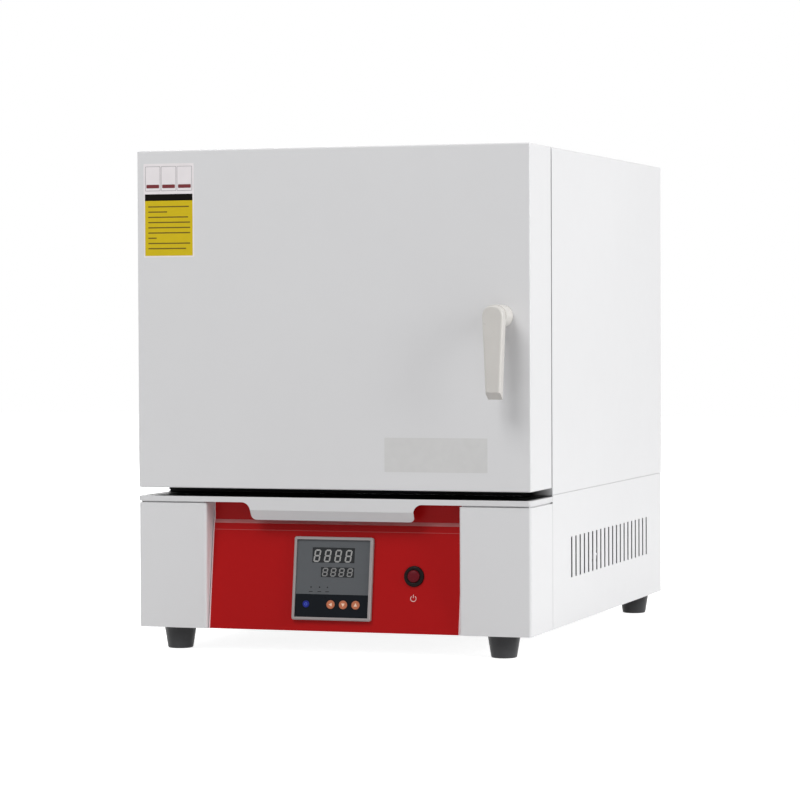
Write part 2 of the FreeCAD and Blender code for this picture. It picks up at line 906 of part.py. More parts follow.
def make_switch_ring():
    """Bezel and barrel of the power button, with a well for the cap."""
    body = new_body("switch_ring")
    profile = new_sketch(body, "ring_profile", "XZ_Plane")
    well = "cap_radius + cap_clearance"
    outline(profile, [
        ("0", "-barrel_length"),
        ("barrel_radius", "-barrel_length"),
        ("barrel_radius", "0"),
        ("ring_radius", "0"),
        ("ring_radius", "ring_depth - ring_bevel"),
        ("ring_radius - ring_bevel", "ring_depth"),
        (well, "ring_depth"),
        (well, "ring_depth - cap_well"),
        ("0", "ring_depth - cap_well"),
    ])
    revolve(body, profile)
    lean_at(body, "button_offset", "button_height")
    export(body)


def make_power_cap():
    """Domed cap of the power button."""
    body = new_body("power_cap")
    disc = new_sketch(body, "cap_disc", "XY_Plane", "ring_depth + cap_rise - cap_length")
    circle(disc, "0", "0", "cap_radius")
    pad(body, disc, "cap_length")
    top = value("ring_depth + cap_rise")
    round_edges(body, "cap_dome", lambda edge, middle: near(middle.z, top), *CHAMFER)
    lean_at(body, "button_offset", "button_height")
    export(body)


def lean_at(body, x, height):
    """Stand a body in the panel's frame with its own origin at a point of the panel."""
    lean(body)
    move_to(body, x, f"front + panel_toe + ({height}) * sin(panel_lean)",
            f"base_z + ({height}) * cos(panel_lean)")


# Wiring inside the base

def make_wiring():
    """Heat sink with fins, relay and terminal strip on the base floor."""
    body = new_body("relay_heatsink")
    plate = new_sketch(body, "sink_plate", "XY_Plane", "floor_top")
    left, front_edge = "sink_offset - sink_width / 2", "rear - sink_setback - sink_depth"
    rectangle(plate, (left, f"{left} + sink_width"), (front_edge, f"{front_edge} + sink_depth"))
    pad(body, plate, "sink_base")
    fin = new_sketch(body, "sink_fin_plan", "XY_Plane", "floor_top + sink_base")
    rectangle(fin, (left, f"{left} + sink_fin"),
              (f"{front_edge} + relay_depth + sink_base", f"{front_edge} + sink_depth"))
    first = pad(body, fin, "sink_fin_height")
    repeat(body, first, fin, "H_Axis", "sink_fin_pitch", "floor((sink_width - sink_fin) / sink_fin_pitch) + 1")
    export(body)
    export(block("solid_state_relay", ("sink_offset - relay_width / 2", "sink_offset + relay_width / 2"),
                 (front_edge, f"{front_edge} + relay_depth"),
                 ("floor_top + sink_base", "floor_top + sink_base + relay_height")))
    export(block("terminal_strip", ("gland_offset - strip_width", "gland_offset"),
                 ("rear - strip_setback - strip_depth", "rear - strip_setback"),
                 ("floor_top", "floor_top + strip_height")))


def make_cable_gland():
    """Bored mains gland through the rear wall of the base."""
    body = new_body("cable_gland")
    profile = new_sketch(body, "gland_profile", "XZ_Plane")
    shoulder = "gland_body_length"
    end = "gland_body_length + gland_cap_length"
    outline(profile, [
        ("gland_bore", "-sheet - gland_inside"),
        ("gland_thread_radius", "-sheet - gland_inside"),
        ("gland_thread_radius", "0"),
        ("gland_body_radius", "0"),
        ("gland_body_radius", shoulder),
        ("gland_cap_radius", shoulder),
        ("gland_cap_radius", f"{end} - gland_nose"),
        ("gland_nose_radius", end),
        ("gland_bore", end),
    ])
    revolve(body, profile)
    body.Placement = Placement(Vector(), Rotation(Vector(1, 0, 0), -90))
    move_to(body, "gland_offset", "rear", "base_z + gland_height")
    export(body)


# Body of the furnace

def make_outer_casing():
    """Top and both sides in one folded sheet."""
    body = new_body("outer_casing")
    section = new_sketch(body, "casing_section", "XZ_Plane", "-rear")
    outline(section, [
        ("-half", "body_z"),
        ("-half", "top_z", "bend_radius"),
        ("half", "top_z", "bend_radius"),
        ("half", "body_z"),
        ("inner_half", "body_z"),
        ("inner_half", "top_z - sheet", "bend_radius - sheet"),
        ("-inner_half", "top_z - sheet", "bend_radius - sheet"),
        ("-inner_half", "body_z"),
    ])
    pad(body, section, "rear - body_front")
    export(body)


def make_front_frame():
    """Plate round the mouth, with the upright slot that the latch pawl passes through."""
    body = new_body("front_frame")
    plate = new_sketch(body, "frame_plate", "XZ_Plane", "-frame_rear")
    rectangle(plate, ("-inner_half", "inner_half"), ("body_z", "top_z - sheet"))
    pad(body, plate, "frame_thickness")
    openings = new_sketch(body, "frame_openings", "XZ_Plane", "-frame_rear")
    rectangle(openings, ("-mouth_width / 2", "mouth_width / 2"),
              ("middle_z - mouth_height / 2", "middle_z + mouth_height / 2"), tag="mouth")
    rectangle(openings, ("handle_x - latch_slot_width / 2", "handle_x + latch_slot_width / 2"),
              ("handle_z - pawl_reach - latch_clearance", "handle_z + pawl_hub_radius + latch_clearance"),
              tag="latch")
    pocket(body, openings)
    export(body)


def make_rear_panel():
    """Back plate of the body with a field of level vent slots."""
    body = new_body("rear_panel")
    plate = new_sketch(body, "rear_plate", "XZ_Plane", "-rear")
    rectangle(plate, ("-inner_half", "inner_half"), ("body_z", "top_z - sheet"))
    pad(body, plate, "sheet")
    vent = new_sketch(body, "rear_vent", "XZ_Plane", "-rear")
    first = "middle_z - (rear_vent_count - 1) / 2 * rear_vent_pitch"
    rectangle(vent, ("-rear_vent_width / 2", "rear_vent_width / 2"),
              (f"{first} - rear_vent_height / 2", f"{first} + rear_vent_height / 2"))
    slot = pocket(body, vent)
    repeat(body, slot, vent, "V_Axis", "rear_vent_pitch", "rear_vent_count")
    export(body)


def make_dividing_floor():
    """Plate between base and body; its edge shows as the dark line of the seam."""
    export(block("dividing_floor", ("-inner_half", "inner_half"), ("frame_rear", "rear - sheet"),
                 ("body_z + dividing_lap - dividing_thickness", "body_z + dividing_lap")))


def make_insulation():
    """Fibre blocks round the liner, with a pocket for the latch and holes for the leads."""
    across = ("-inner_half", "inner_half")
    along = ("frame_rear", "bay_front")
    export(block("insulation_bottom", across, along, ("body_z + dividing_lap", "liner_bottom")))
    below_bends = ("-inner_half + bend_radius - sheet", "inner_half - bend_radius + sheet")
    export(block("insulation_top", below_bends, along, ("liner_top", "top_z - sheet")))
    export(block("insulation_left", ("-inner_half", "-liner_x"), along, ("liner_bottom", "liner_top")))
    side = block("right_side_block", ("liner_x", "inner_half"), along, ("liner_bottom", "liner_top"))
    latch_room = block("latch_room", ("handle_x - pawl_hub_radius - latch_clearance", "inner_half"),
                       ("frame_rear - sheet", "pawl_rear + latch_clearance"),
                       ("handle_z - pawl_reach - latch_clearance",
                        "handle_z + pawl_hub_radius + latch_clearance"))
    export(cut("insulation_right", side, [latch_room]))
    rear_block = block("rear_block", ("-liner_x", "liner_x"), ("chamber_rear", "bay_front"),
                       ("liner_bottom", "liner_top"))
    export(cut("insulation_rear", rear_block, lead_holes("rear_block", "chamber_rear", "bay_front")))
    plate = block("bay_plate", across, ("bay_front", "bay_front + sheet"),
                  ("body_z + dividing_lap", "top_z - sheet"))
    export(cut("bay_partition", plate, lead_holes("bay_plate", "bay_front", "bay_front + sheet")))


WIRE_RUNS = 4
WIRE_ENDS = [
    ("left_low", "-wire_x", "lowest_wire_z"),
    ("left_high", "-wire_x", "highest_wire_z"),
    ("right_low", "wire_x", "lowest_wire_z"),
    ("right_high", "wire_x", "highest_wire_z"),
]


def lead_holes(name, start, end):
    """Tools for the holes of the four wire ends and of the thermocouple."""
    holes = [
        rod(f"{name}_{wire}", "wire_radius + wire_gap", (x, f"{start} - sheet", z),
            f"{end} - ({start}) + 2 * sheet", "y")
        for wire, x, z in WIRE_ENDS
    ]
    sensor = rod(name + "_sensor", "sheath_radius + wire_gap", ("0", f"{start} - sheet", "sensor_z"),
                 f"{end} - ({start}) + 2 * sheet", "y")
    return holes + [sensor]


def make_mouth_frame():
    """Ceramic ring that lines the mouth."""
    body = new_body("mouth_frame")
    ring = new_sketch(body, "mouth_ring", "XZ_Plane", "-mouth_rear")
    rectangle(ring, ("-liner_x", "liner_x"), ("liner_bottom", "liner_top"), tag="outer")
    rectangle(ring, ("-mouth_width / 2", "mouth_width / 2"),
              ("middle_z - mouth_height / 2", "middle_z + mouth_height / 2"), tag="inner")
    pad(body, ring, "mouth_rear - frame_rear")
    export(body)


def make_liner_plates():
    """Hearth and roof of the chamber, set between its side plates."""
    across, along = ("-chamber_width / 2", "chamber_width / 2"), ("mouth_rear", "chamber_rear")
    export(block("hearth_plate", across, along, ("liner_bottom", "liner_bottom + liner")))
    export(block("roof_plate", across, along, ("liner_top - liner", "liner_top")))


def make_heater_plate(name, side):
    """Side plate of the chamber with four level grooves, open to the bends at both ends."""
    body = new_body(name)
    face, back = f"{side} * chamber_width / 2", f"{side} * liner_x"
    floor = f"{side} * (chamber_width / 2 + 2 * (wire_gap + wire_radius))"
    plate = new_sketch(body, name + "_section", "XZ_Plane", "-chamber_rear")
    rectangle(plate, (face, back), ("liner_bottom", "liner_top"))
    pad(body, plate, "chamber_depth")
    groove = new_sketch(body, name + "_groove", "XZ_Plane", "-chamber_rear")
    first, half_groove = "lowest_wire_z", "(wire_radius + wire_gap)"
    beyond = f"{side} * (chamber_width / 2 - sheet)"
    rectangle(groove, (beyond, floor), (f"{first} - {half_groove}", f"{first} + {half_groove}"))
    lowest = pocket(body, groove, "chamber_rear - wire_front", backwards=True)
    repeat(body, lowest, groove, "V_Axis", "wire_pitch", str(WIRE_RUNS))
    bends = new_sketch(body, name + "_bends", "XY_Plane", "middle_z")
    rectangle(bends, (beyond, floor),
              (f"wire_front - {half_groove}", f"wire_front + {half_groove}"), tag="front")
    pocket(body, bends, f"highest_wire_z - {first} + 2 * {half_groove}", both=True)
    turn = new_sketch(body, name + "_turn", "XY_Plane", "middle_z")
    rectangle(turn, (beyond, floor),
              (f"wire_back - {half_groove}", f"wire_back + {half_groove}"), tag="rear")
    pocket(body, turn, f"wire_pitch + 2 * {half_groove}", both=True)
    export(body)


def make_heating_wire(name, side):
    """Wire in four level runs joined by three short upright bends, its two ends led out to the rear."""
    x = f"{side} * wire_x"
    heights = [f"lowest_wire_z + {run} * wire_pitch" for run in range(WIRE_RUNS)]
    pieces = []
    for run, z in enumerate(heights):
        end = "wire_end" if run in (0, WIRE_RUNS - 1) else "wire_back + wire_radius"
        pieces.append(rod(f"{name}_run{run}", "wire_radius", (x, "wire_front - wire_radius", z),
                          f"{end} - wire_front + wire_radius", "y"))
    for bend, z in enumerate(heights[:-1]):
        y = "wire_front" if bend % 2 == 0 else "wire_back"
        pieces.append(rod(f"{name}_bend{bend}", "wire_radius", (x, y, z), "wire_pitch"))
    export(fuse(name, pieces))


def make_terminals():
    """Ceramic bead round each wire end in the wiring bay."""
    beads = []
    for name, x, z in WIRE_ENDS:
        start = "bay_front + sheet"
        bead = rod(name + "_bead", "terminal_radius", (x, start, z), "terminal_length", "y")
        bore = rod(name + "_bore", "wire_radius + wire_gap", (x, f"{start} - sheet", z),
                   "terminal_length + 2 * sheet", "y")
        beads.append(cut(name + "_terminal", bead, [bore]))
    export(group("element_terminals", beads))


def make_thermocouple():
    """Ceramic sheath into the chamber with its connection head in the wiring bay."""
    sheath = rod("sheath", "sheath_radius", ("0", "chamber_rear - sheath_reach", "sensor_z"),
                 "bay_front + sheet - chamber_rear + sheath_reach", "y")
    head = rod("sensor_head", "sensor_head_radius", ("0", "bay_front + sheet", "sensor_z"),
               "sensor_head_length", "y")
    export(fuse("thermocouple", [sheath, head]))


# Door

def make_door_shell():
    """Outer pan of the door, folded from one sheet."""
    body = new_body("door_shell")
    face = new_sketch(body, "door_face", "XZ_Plane", "-door_rear")
    rectangle(face, ("-half", "half"), ("door_z", "top_z"))
    pad(body, face, "door_depth")
    back = value("door_rear")
    round_edges(body, "door_round",
                lambda edge, middle: edge.BoundBox.YMax < back - 1 or edge.BoundBox.YLength > 1)
    inside = new_sketch(body, "door_inside", "XZ_Plane", "-door_rear")
    rectangle(inside, ("-inner_half", "inner_half"), ("door_z + sheet", "top_z - sheet"))
    pocket(body, inside, "door_depth - sheet", backwards=True)
    hole = new_sketch(body, "door_shaft_hole", "XZ_Plane", "-door_rear")
    circle(hole, "handle_x", "handle_z", "bush_radius + bore_clearance")
    pocket(body, hole)
    export(body)


def make_door_inner_plate():
    """Plate that closes the pan, with openings for the plug and the latch shaft."""
    body = new_body("door_inner_plate")
    plate = new_sketch(body, "inner_plate", "XZ_Plane", "-door_rear")
    rectangle(plate, ("-inner_half", "inner_half"), ("door_z + sheet", "top_z - sheet"))
    pad(body, plate, "sheet")
    openings = new_sketch(body, "inner_plate_openings", "XZ_Plane", "-door_rear")
    rectangle(openings, ("-plug_width / 2 - seat_gap", "plug_width / 2 + seat_gap"),
              ("middle_z - plug_height / 2 - seat_gap", "middle_z + plug_height / 2 + seat_gap"))
    circle(openings, "handle_x", "handle_z", "bush_radius + bore_clearance")
    pocket(body, openings)
    export(body)


def make_door_insulation():
    """Block that fills the pan, bored for the latch shaft and its bushes."""
    filling = block("door_filling", ("-inner_half", "inner_half"), ("front + sheet", "door_rear - sheet"),
                    ("door_z + sheet", "top_z - sheet"))
    bore = rod("door_bore", "bush_flange_radius + bore_clearance", ("handle_x", "front", "handle_z"),
               "door_depth", "y")
    export(cut("door_insulation", filling, [bore]))


def make_door_plug():
    """Tapered block that closes the mouth."""
    body = new_body("door_plug")
    base = new_sketch(body, "plug_base", "XZ_Plane", "-(door_rear - sheet)")
    rectangle(base, ("-plug_width / 2", "plug_width / 2"),
              ("middle_z - plug_height / 2", "middle_z + plug_height / 2"))
    feature = pad(body, base, "plug_depth + sheet", backwards=True)
    bind(feature, "TaperAngle", "-plug_taper")
    DOC.recompute()
    end = value("door_rear + plug_depth")
    round_edges(body, "plug_round", lambda edge, middle: near(middle.y, end), *CHAMFER)
    export(body)


def make_door_seal():
    """Flat fibre seal round the plug."""
    body = new_body("door_seal")
    ring = new_sketch(body, "seal_ring", "XZ_Plane", "-door_rear")
    for tag, reach, corner in (("outer", "(seal_margin + seal_width)", "seal_corner"), ("inner", "seal_margin", None)):
        rectangle(ring, (f"-plug_width / 2 - {reach}", f"plug_width / 2 + {reach}"),
                  (f"middle_z - plug_height / 2 - {reach}", f"middle_z + plug_height / 2 + {reach}"),
                  corner, tag)
    pad(body, ring, "door_seam - seat_gap", backwards=True)
    export(body)


# Hinges

def hinge_leaf(name, bottom, side, knuckles):
    """One leaf: plate on the casing's side, with the knuckles given as (start, end) shares of its length."""
    plate_x = ("-half - hinge_leaf", "-half")
    if side == "door":
        plate_y = ("hinge_y - hinge_leaf_width", "hinge_y - hinge_reveal")
        web_y = ("hinge_y - knuckle_radius", "hinge_y")
    else:
        plate_y = ("hinge_y + hinge_reveal", "hinge_y + hinge_leaf_width")
        web_y = ("hinge_y", "hinge_y + knuckle_radius")
    pieces = [block(name + "_plate", plate_x, plate_y, (bottom, f"{bottom} + hinge_length"))]
    for index, (low, high) in enumerate(knuckles):
        start, end = f"{bottom} + {low}", f"{bottom} + {high}"
        pieces.append(rod(f"{name}_knuckle{index}", "knuckle_radius", ("hinge_x", "hinge_y", start),
                          f"({end}) - ({start})"))
        pieces.append(block(f"{name}_web{index}", ("hinge_x", "-half - hinge_leaf"), web_y, (start, end)))
    bore = rod(name + "_bore", "hinge_pin_radius + hinge_pin_clearance", ("hinge_x", "hinge_y", bottom),
               "hinge_length")
    return cut(name, fuse(name + "_solid", pieces), [bore])


def make_hinges():
    """Two butt hinges: outer knuckles on the casing, the middle one on the door."""
    third = "hinge_length / 3"
    middle = [(f"{third} + knuckle_gap", f"2 * {third} - knuckle_gap")]
    outer = [("0", third), (f"2 * {third}", "hinge_length")]
    places = [("upper", "upper_hinge_z"), ("lower", "lower_hinge_z")]
    export(group("door_hinge_leaves", [
        hinge_leaf(f"{name}_door_leaf", bottom, "door", middle) for name, bottom in places]))
    export(group("casing_hinge_leaves", [
        hinge_leaf(f"{name}_casing_leaf", bottom, "casing", outer) for name, bottom in places]))
    pins = []
    for name, bottom in places:
        shank = rod(name + "_pin_shank", "hinge_pin_radius", ("hinge_x", "hinge_y", bottom), "hinge_length")
        head = rod(name + "_pin_head", "knuckle_radius", ("hinge_x", "hinge_y", f"{bottom} + hinge_length"),
                   "hinge_pin_head")
        pins.append(fuse(name + "_pin", [shank, head]))
    export(group("hinge_pins", pins))


# Handle and latch

def draw_grip(sketch, end):
    """Round top about the pivot with two tangent sides that narrow to the end."""
    pivot = Vector(value("handle_x"), value("handle_z"), 0)
    radius, half_end, reach = value("lever_top_radius"), value("lever_end_width / 2"), value("lever_length")
    lean_in = math.asin((radius - half_end) / reach)
    top = Part.ArcOfCircle(Part.Circle(pivot, Vector(0, 0, 1), radius), -lean_in, math.pi + lean_in)
    crown = sketch.addGeometry(top, False)
    corners = [pivot + Vector(-half_end, -reach, 0), pivot + Vector(half_end, -reach, 0)]
    left = sketch.addGeometry(Part.LineSegment(top.EndPoint, corners[0]), False)
    foot = sketch.addGeometry(Part.LineSegment(corners[0], corners[1]), False)
    right = sketch.addGeometry(Part.LineSegment(corners[1], top.StartPoint), False)
    sketch.addConstraint(Sketcher.Constraint("Tangent", crown, 2, left, 1))
    sketch.addConstraint(Sketcher.Constraint("Tangent", right, 2, crown, 1))
    sketch.addConstraint(Sketcher.Constraint("Coincident", left, 2, foot, 1))
    sketch.addConstraint(Sketcher.Constraint("Coincident", foot, 2, right, 1))
    fix_point(sketch, crown, 3, "handle_x", "handle_z", "pivot")
    set_radius(sketch, crown, "lever_top_radius", "crown")
    fix_point(sketch, foot, 1, "handle_x - lever_end_width / 2", end, "left_end")
    fix_point(sketch, foot, 2, "handle_x + lever_end_width / 2", end, "right_end")


def make_lever():
    """Hanging lever with a tapered grip, a slanted end and a round boss."""
    body = new_body("handle_lever")
    end = "handle_z - lever_length"
    grip = new_sketch(body, "lever_grip", "XZ_Plane", "-lever_back")
    draw_grip(grip, end)
    pad(body, grip, "lever_thickness")
    slant = new_sketch(body, "lever_slant_cut", "YZ_Plane", "handle_x")
    outline(slant, [
        ("lever_front - lever_round", f"{end} - lever_round"),
        ("lever_back", end),
        ("lever_front", f"{end} + lever_slant"),
        ("lever_front - lever_round", f"{end} + lever_slant"),
    ])
    pocket(body, slant)
    face, low = value("lever_front"), value(f"{end} + lever_slant")
    round_edges(body, "lever_round", lambda edge, middle: near(middle.y, face) and middle.z > low + 1)
    boss = new_sketch(body, "lever_boss", "XZ_Plane", "-(front - boss_gap)")
    circle(boss, "handle_x", "handle_z", "boss_radius")
    pad(body, boss, "front - boss_gap - lever_back")
    hole = new_sketch(body, "lever_bore", "XZ_Plane", "-(front - boss_gap)")
    circle(hole, "handle_x", "handle_z", "shaft_radius")
    pocket(body, hole, "shaft_depth_in_lever", backwards=True)
    export(body)


def make_latch():
    """Shaft through the door, its two bushes and the pawl on its rear end."""
    shaft_start = "front - boss_gap - shaft_depth_in_lever"
    export(rod("latch_shaft", "shaft_radius", ("handle_x", shaft_start, "handle_z"),
               f"pawl_rear - ({shaft_start})", "y"))
    bushes = [
        make_bush("front_bush", "front", "front + sheet", "1"),
        make_bush("rear_bush", "door_rear", "door_rear - sheet - bush_flange", "-1"),
    ]
    export(group("latch_bushes", bushes))
    body = new_body("latch_pawl")
    plan = new_sketch(body, "pawl_plan", "XZ_Plane", "-pawl_rear")
    outline(plan, [
        ("handle_x", "handle_z - pawl_width / 2"),
        ("handle_x + pawl_reach", "handle_z - pawl_width / 2", "pawl_width / 4"),
        ("handle_x + pawl_reach", "handle_z + pawl_width / 2", "pawl_width / 4"),
        ("handle_x", "handle_z + pawl_width / 2"),
    ])
    pad(body, plan, "pawl_thickness")
    hub = new_sketch(body, "pawl_hub", "XZ_Plane", "-pawl_rear")
    circle(hub, "handle_x", "handle_z", "pawl_hub_radius")
    pad(body, hub, "pawl_thickness")
    bore = new_sketch(body, "pawl_bore", "XZ_Plane", "-pawl_rear")
    circle(bore, "handle_x", "handle_z", "shaft_radius")
    pocket(body, bore)
    export(body)


def make_bush(name, start, flange_start, side):
    """Flanged bush seated in a wall of the door and reaching into its filling."""
    sleeve_start = start if side == "1" else f"{start} - bush_length"
    sleeve = rod(name + "_sleeve", "bush_radius", ("handle_x", sleeve_start, "handle_z"), "bush_length", "y")
    flange = rod(name + "_flange", "bush_flange_radius", ("handle_x", flange_start, "handle_z"),
                 "bush_flange", "y")
    bore = rod(name + "_bore", "shaft_radius + shaft_clearance",
               ("handle_x", f"{sleeve_start} - sheet", "handle_z"), "bush_length + 2 * sheet", "y")
    return cut(name, fuse(name + "_solid", [sleeve, flange]), [bore])


# The furnace

def make_furnace():
    make_base_floor()
    make_feet()
    make_foot_screws()
    make_base_wrap()
    make_column("left_column", "-1")
    make_column("right_column", "1")
    make_ledge()
    make_panel_sheet("control_panel", "panel_width", "0", "panel_thickness")
    make_panel_sheet("panel_backing", "2 * (column_x - seat_gap)", "panel_thickness", "backing_thickness")
    make_bezel()
    make_housing()
    make_display_face()
    make_display_windows()
    make_key_plate()
    for name, x, radius in KEYS:
        make_key(name, x, radius)
    make_switch_ring()
    make_power_cap()
    make_wiring()
    make_cable_gland()
    make_outer_casing()
    make_front_frame()
    make_rear_panel()
    make_dividing_floor()
    make_insulation()
    make_mouth_frame()
    make_liner_plates()
    make_heater_plate("left_heater_plate", "-1")
    make_heater_plate("right_heater_plate", "1")
    make_heating_wire("left_heating_wire", "-1")
    make_heating_wire("right_heating_wire", "1")
    make_terminals()
    make_thermocouple()
    make_door_shell()
    make_door_inner_plate()
    make_door_insulation()
    make_door_plug()
    make_door_seal()
    make_hinges()
    make_lever()
    make_latch()
    for node in NODES:
        centre(node)
    DOC.recompute()


def check_document():
    """Stop if any object failed or any sub-part is not a sound solid."""
    for thing in DOC.Objects:
        if "Invalid" in thing.State or "Error" in thing.State:
            raise RuntimeError(thing.Label + " failed to compute")
    for thing in NODES:
        if thing.Shape.isNull() or not thing.Shape.isValid() or not thing.Shape.Solids:
            raise RuntimeError(thing.Label + " is not a sound solid")


make_furnace()
check_document()
os.makedirs("parts", exist_ok=True)
for node in NODES:
    node.Shape.exportStep(f"parts/{node.Label}.step")
    print(f"{node.Label}: {len(node.Shape.Solids)} solid(s), {node.Shape.Volume / 1000:.1f} cm3")
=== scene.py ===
# %% [markdown]
# # A white bench furnace, dressed for a product picture
#
# The furnace comes in as a finished solid model: folded sheet, a thick door, a leaning red panel with a
# square temperature controller, rubber feet. This script gives each piece its finish and adds the small things
# that a maker puts on last. All lengths are metres, X is to the viewer's right, Y is away and Z is up.

# %% Load the solid model
import math

import bmesh
import bpy
from mathutils import Euler, Matrix, Vector


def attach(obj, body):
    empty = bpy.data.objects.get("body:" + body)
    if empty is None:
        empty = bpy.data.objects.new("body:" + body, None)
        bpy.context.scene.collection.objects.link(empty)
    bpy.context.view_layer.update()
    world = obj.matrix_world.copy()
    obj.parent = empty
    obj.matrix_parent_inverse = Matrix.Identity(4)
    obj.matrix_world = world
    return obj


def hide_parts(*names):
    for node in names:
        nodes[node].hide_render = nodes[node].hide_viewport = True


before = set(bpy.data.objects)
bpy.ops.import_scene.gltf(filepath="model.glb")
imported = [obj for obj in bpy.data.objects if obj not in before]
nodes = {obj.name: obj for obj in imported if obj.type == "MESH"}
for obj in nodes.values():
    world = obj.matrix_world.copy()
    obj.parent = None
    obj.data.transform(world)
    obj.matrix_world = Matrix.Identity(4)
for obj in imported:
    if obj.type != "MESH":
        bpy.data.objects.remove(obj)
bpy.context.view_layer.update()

scene = bpy.context.scene

# %% [markdown]
# ## The camera
#
# A product picture of a box is taken from far away with a long lens, so that its upright edges stay nearly
# parallel. Place, turn and lens were worked out from the corners of the casing. A camera looks along its own
# -Z, so an upright camera that faces away from the viewer is turned by a quarter turn about X.

# %% Place the camera
SENSOR = 0.036
camera_data = bpy.data.cameras.new("product_camera")
camera_data.sensor_width = SENSOR * 1000
camera_data.lens = 139.35
camera_data.clip_end = 50
camera = bpy.data.objects.new("product_camera", camera_data)
camera.location = (1.19395, -3.6431, 0.3859)
YAW, PITCH, ROLL = math.radians(18.27), math.radians(-1.52), math.radians(-0.237)
facing = Euler((math.pi / 2 + PITCH, 0, YAW)).to_matrix()
camera.rotation_euler = (facing @ Matrix.Rotation(ROLL, 3, "Z")).to_euler()
scene.collection.objects.link(camera)
scene.camera = camera
print("camera lens", camera_data.lens, "at", tuple(camera.location))

# %% [markdown]
# ## Sums with sockets
#
# A finish is a small graph of shader nodes. Wiring it by hand hides the idea, so one class wraps a socket and
# lets it be added and multiplied like a number. Each operation makes one Math node. Colours are never put
# through it, because a Math node makes them grey: they go through Mix.

# %% A socket that can be used in sums


class Wire:
    """The output of a node, which behaves like a number that varies over the surface."""

    def __init__(self, finish, socket):
        self.finish = finish
        self.socket = socket

    def math(self, operation, first, second=0.0):
        return self.finish.node("ShaderNodeMath", {"operation": operation}, {0: first, 1: second})["Value"]

    def __add__(self, other):
        return self.math("ADD", self, other)

    __radd__ = __add__

    def __sub__(self, other):
        return self.math("SUBTRACT", self, other)

    def __rsub__(self, other):
        return self.math("SUBTRACT", other, self)

    def __mul__(self, other):
        return self.math("MULTIPLY", self, other)

    __rmul__ = __mul__

    def __gt__(self, other):
        return self.math("GREATER_THAN", self, other)

    def __lt__(self, other):
        return self.math("LESS_THAN", self, other)


print("sockets take + - * < >")

# %% [markdown]
# ## One maker for every finish
#
# Every material starts from the Principled shader. `Finish` holds its node tree, and its `node` method makes
# any other node from a type, its settings and the values or wires of its inputs. Settings come first, because a
# Math node's operation or a ramp's stops decide which sockets there are.

# %% A finish and its nodes


class Finish:
    """A material with a Principled shader and any nodes that feed it."""

    def __init__(self, name, colour, roughness, **constants):
        self.material = bpy.data.materials.new(name)
        self.material.use_nodes = True
        self.tree = self.material.node_tree
        self.shader = self.tree.nodes["Principled BSDF"]
        self.set("Base Color", colour)
        self.set("Roughness", roughness)
        for socket, amount in constants.items():
            self.set(socket.replace("_", " "), amount)
        self.material.diffuse_color = (*colour, 1)

    def feed(self, socket, content):
        if isinstance(content, Wire):
            self.tree.links.new(content.socket, socket)
        elif hasattr(content, "__len__") and len(content) == 3 and len(socket.default_value) == 4:
            socket.default_value = (*content, 1)
        else:
            socket.default_value = content

    def set(self, name, content):
        self.feed(self.shader.inputs[name], content)

    def node(self, kind, settings=None, inputs=None):
        """Make a node and return its outputs by name."""
        made = self.tree.nodes.new(kind)
        settings = dict(settings or {})
        stops = settings.pop("stops", None)
        for name, setting in settings.items():
            setattr(made, name, setting)
        if stops:
            ramp = made.color_ramp
            ramp.elements[0].position, ramp.elements[0].color = stops[0][0], (*stops[0][1], 1)
            ramp.elements[1].position, ramp.elements[1].color = stops[-1][0], (*stops[-1][1], 1)
            for position, colour in stops[1:-1]:
                ramp.elements.new(position).color = (*colour, 1)
        for name, content in (inputs or {}).items():
            self.feed(made.inputs[name], content)
        return {output.name: Wire(self, output) for output in made.outputs if output.enabled}

    def place(self):
        """The point of the surface in the furnace's own frame, in metres."""
        return self.node("ShaderNodeTexCoord")["Object"]

    def along(self, axis):
        return self.node("ShaderNodeSeparateXYZ", None, {0: self.place()})[axis]

    def noise(self, scale, detail=2.0, stretch=(1, 1, 1)):
        """Soft random values from 0 to 1, with the number of lumps in a metre."""
        where = self.node("ShaderNodeMapping", None, {"Vector": self.place(), "Scale": stretch})["Vector"]
        return self.node("ShaderNodeTexNoise", None,
                         {"Vector": where, "Scale": scale, "Detail": detail})["Fac"]

    def blend(self, amount, first, second):
        """A colour between two colours."""
        settings = {"data_type": "RGBA", "clamp_factor": True}
        made = self.tree.nodes.new("ShaderNodeMix")
        for name, setting in settings.items():
            setattr(made, name, setting)
        sockets = {socket.identifier: socket for socket in made.inputs}
        self.feed(sockets["Factor_Float"], amount)
        self.feed(sockets["A_Color"], first)
        self.feed(sockets["B_Color"], second)
        return Wire(self, [socket for socket in made.outputs if socket.identifier == "Result_Color"][0])

    def bump(self, height, distance, strength=1.0):
        """Let a height, in the given distance from low to high, tilt the light on the surface."""
        normal = self.node("ShaderNodeBump", None,
                           {"Height": height, "Distance": distance, "Strength": strength})["Normal"]
        self.set("Normal", normal)


def shade(colour, factor):
    """A colour made lighter or darker."""
    return tuple(min(1.0, channel * factor) for channel in colour)


print("finishes are ready to be mixed")

# %% [markdown]
# ## Powder-coated sheet
#
# The casing, door and columns are white powder coat: melted powder that sets with a faint orange peel, lumps
# about a millimetre across and a few hundredths high. The sheen comes from a middling roughness that varies a
# little. A slow, very faint drift in colour keeps large flat sheets from looking like paper.

# %% Mix the powder coats


def powder_coat(name, colour, roughness=0.36, peel=0.00002, drift=0.025):
    finish = Finish(name, colour, roughness)
    finish.coat = finish.blend(finish.noise(5, 3), shade(colour, 1 - drift), shade(colour, 1 + drift))
    finish.set("Base Color", finish.coat)
    finish.set("Roughness", finish.noise(60, 3) * 0.1 + (roughness - 0.05))
    finish.bump(finish.noise(750, 2), peel, 0.35)
    return finish


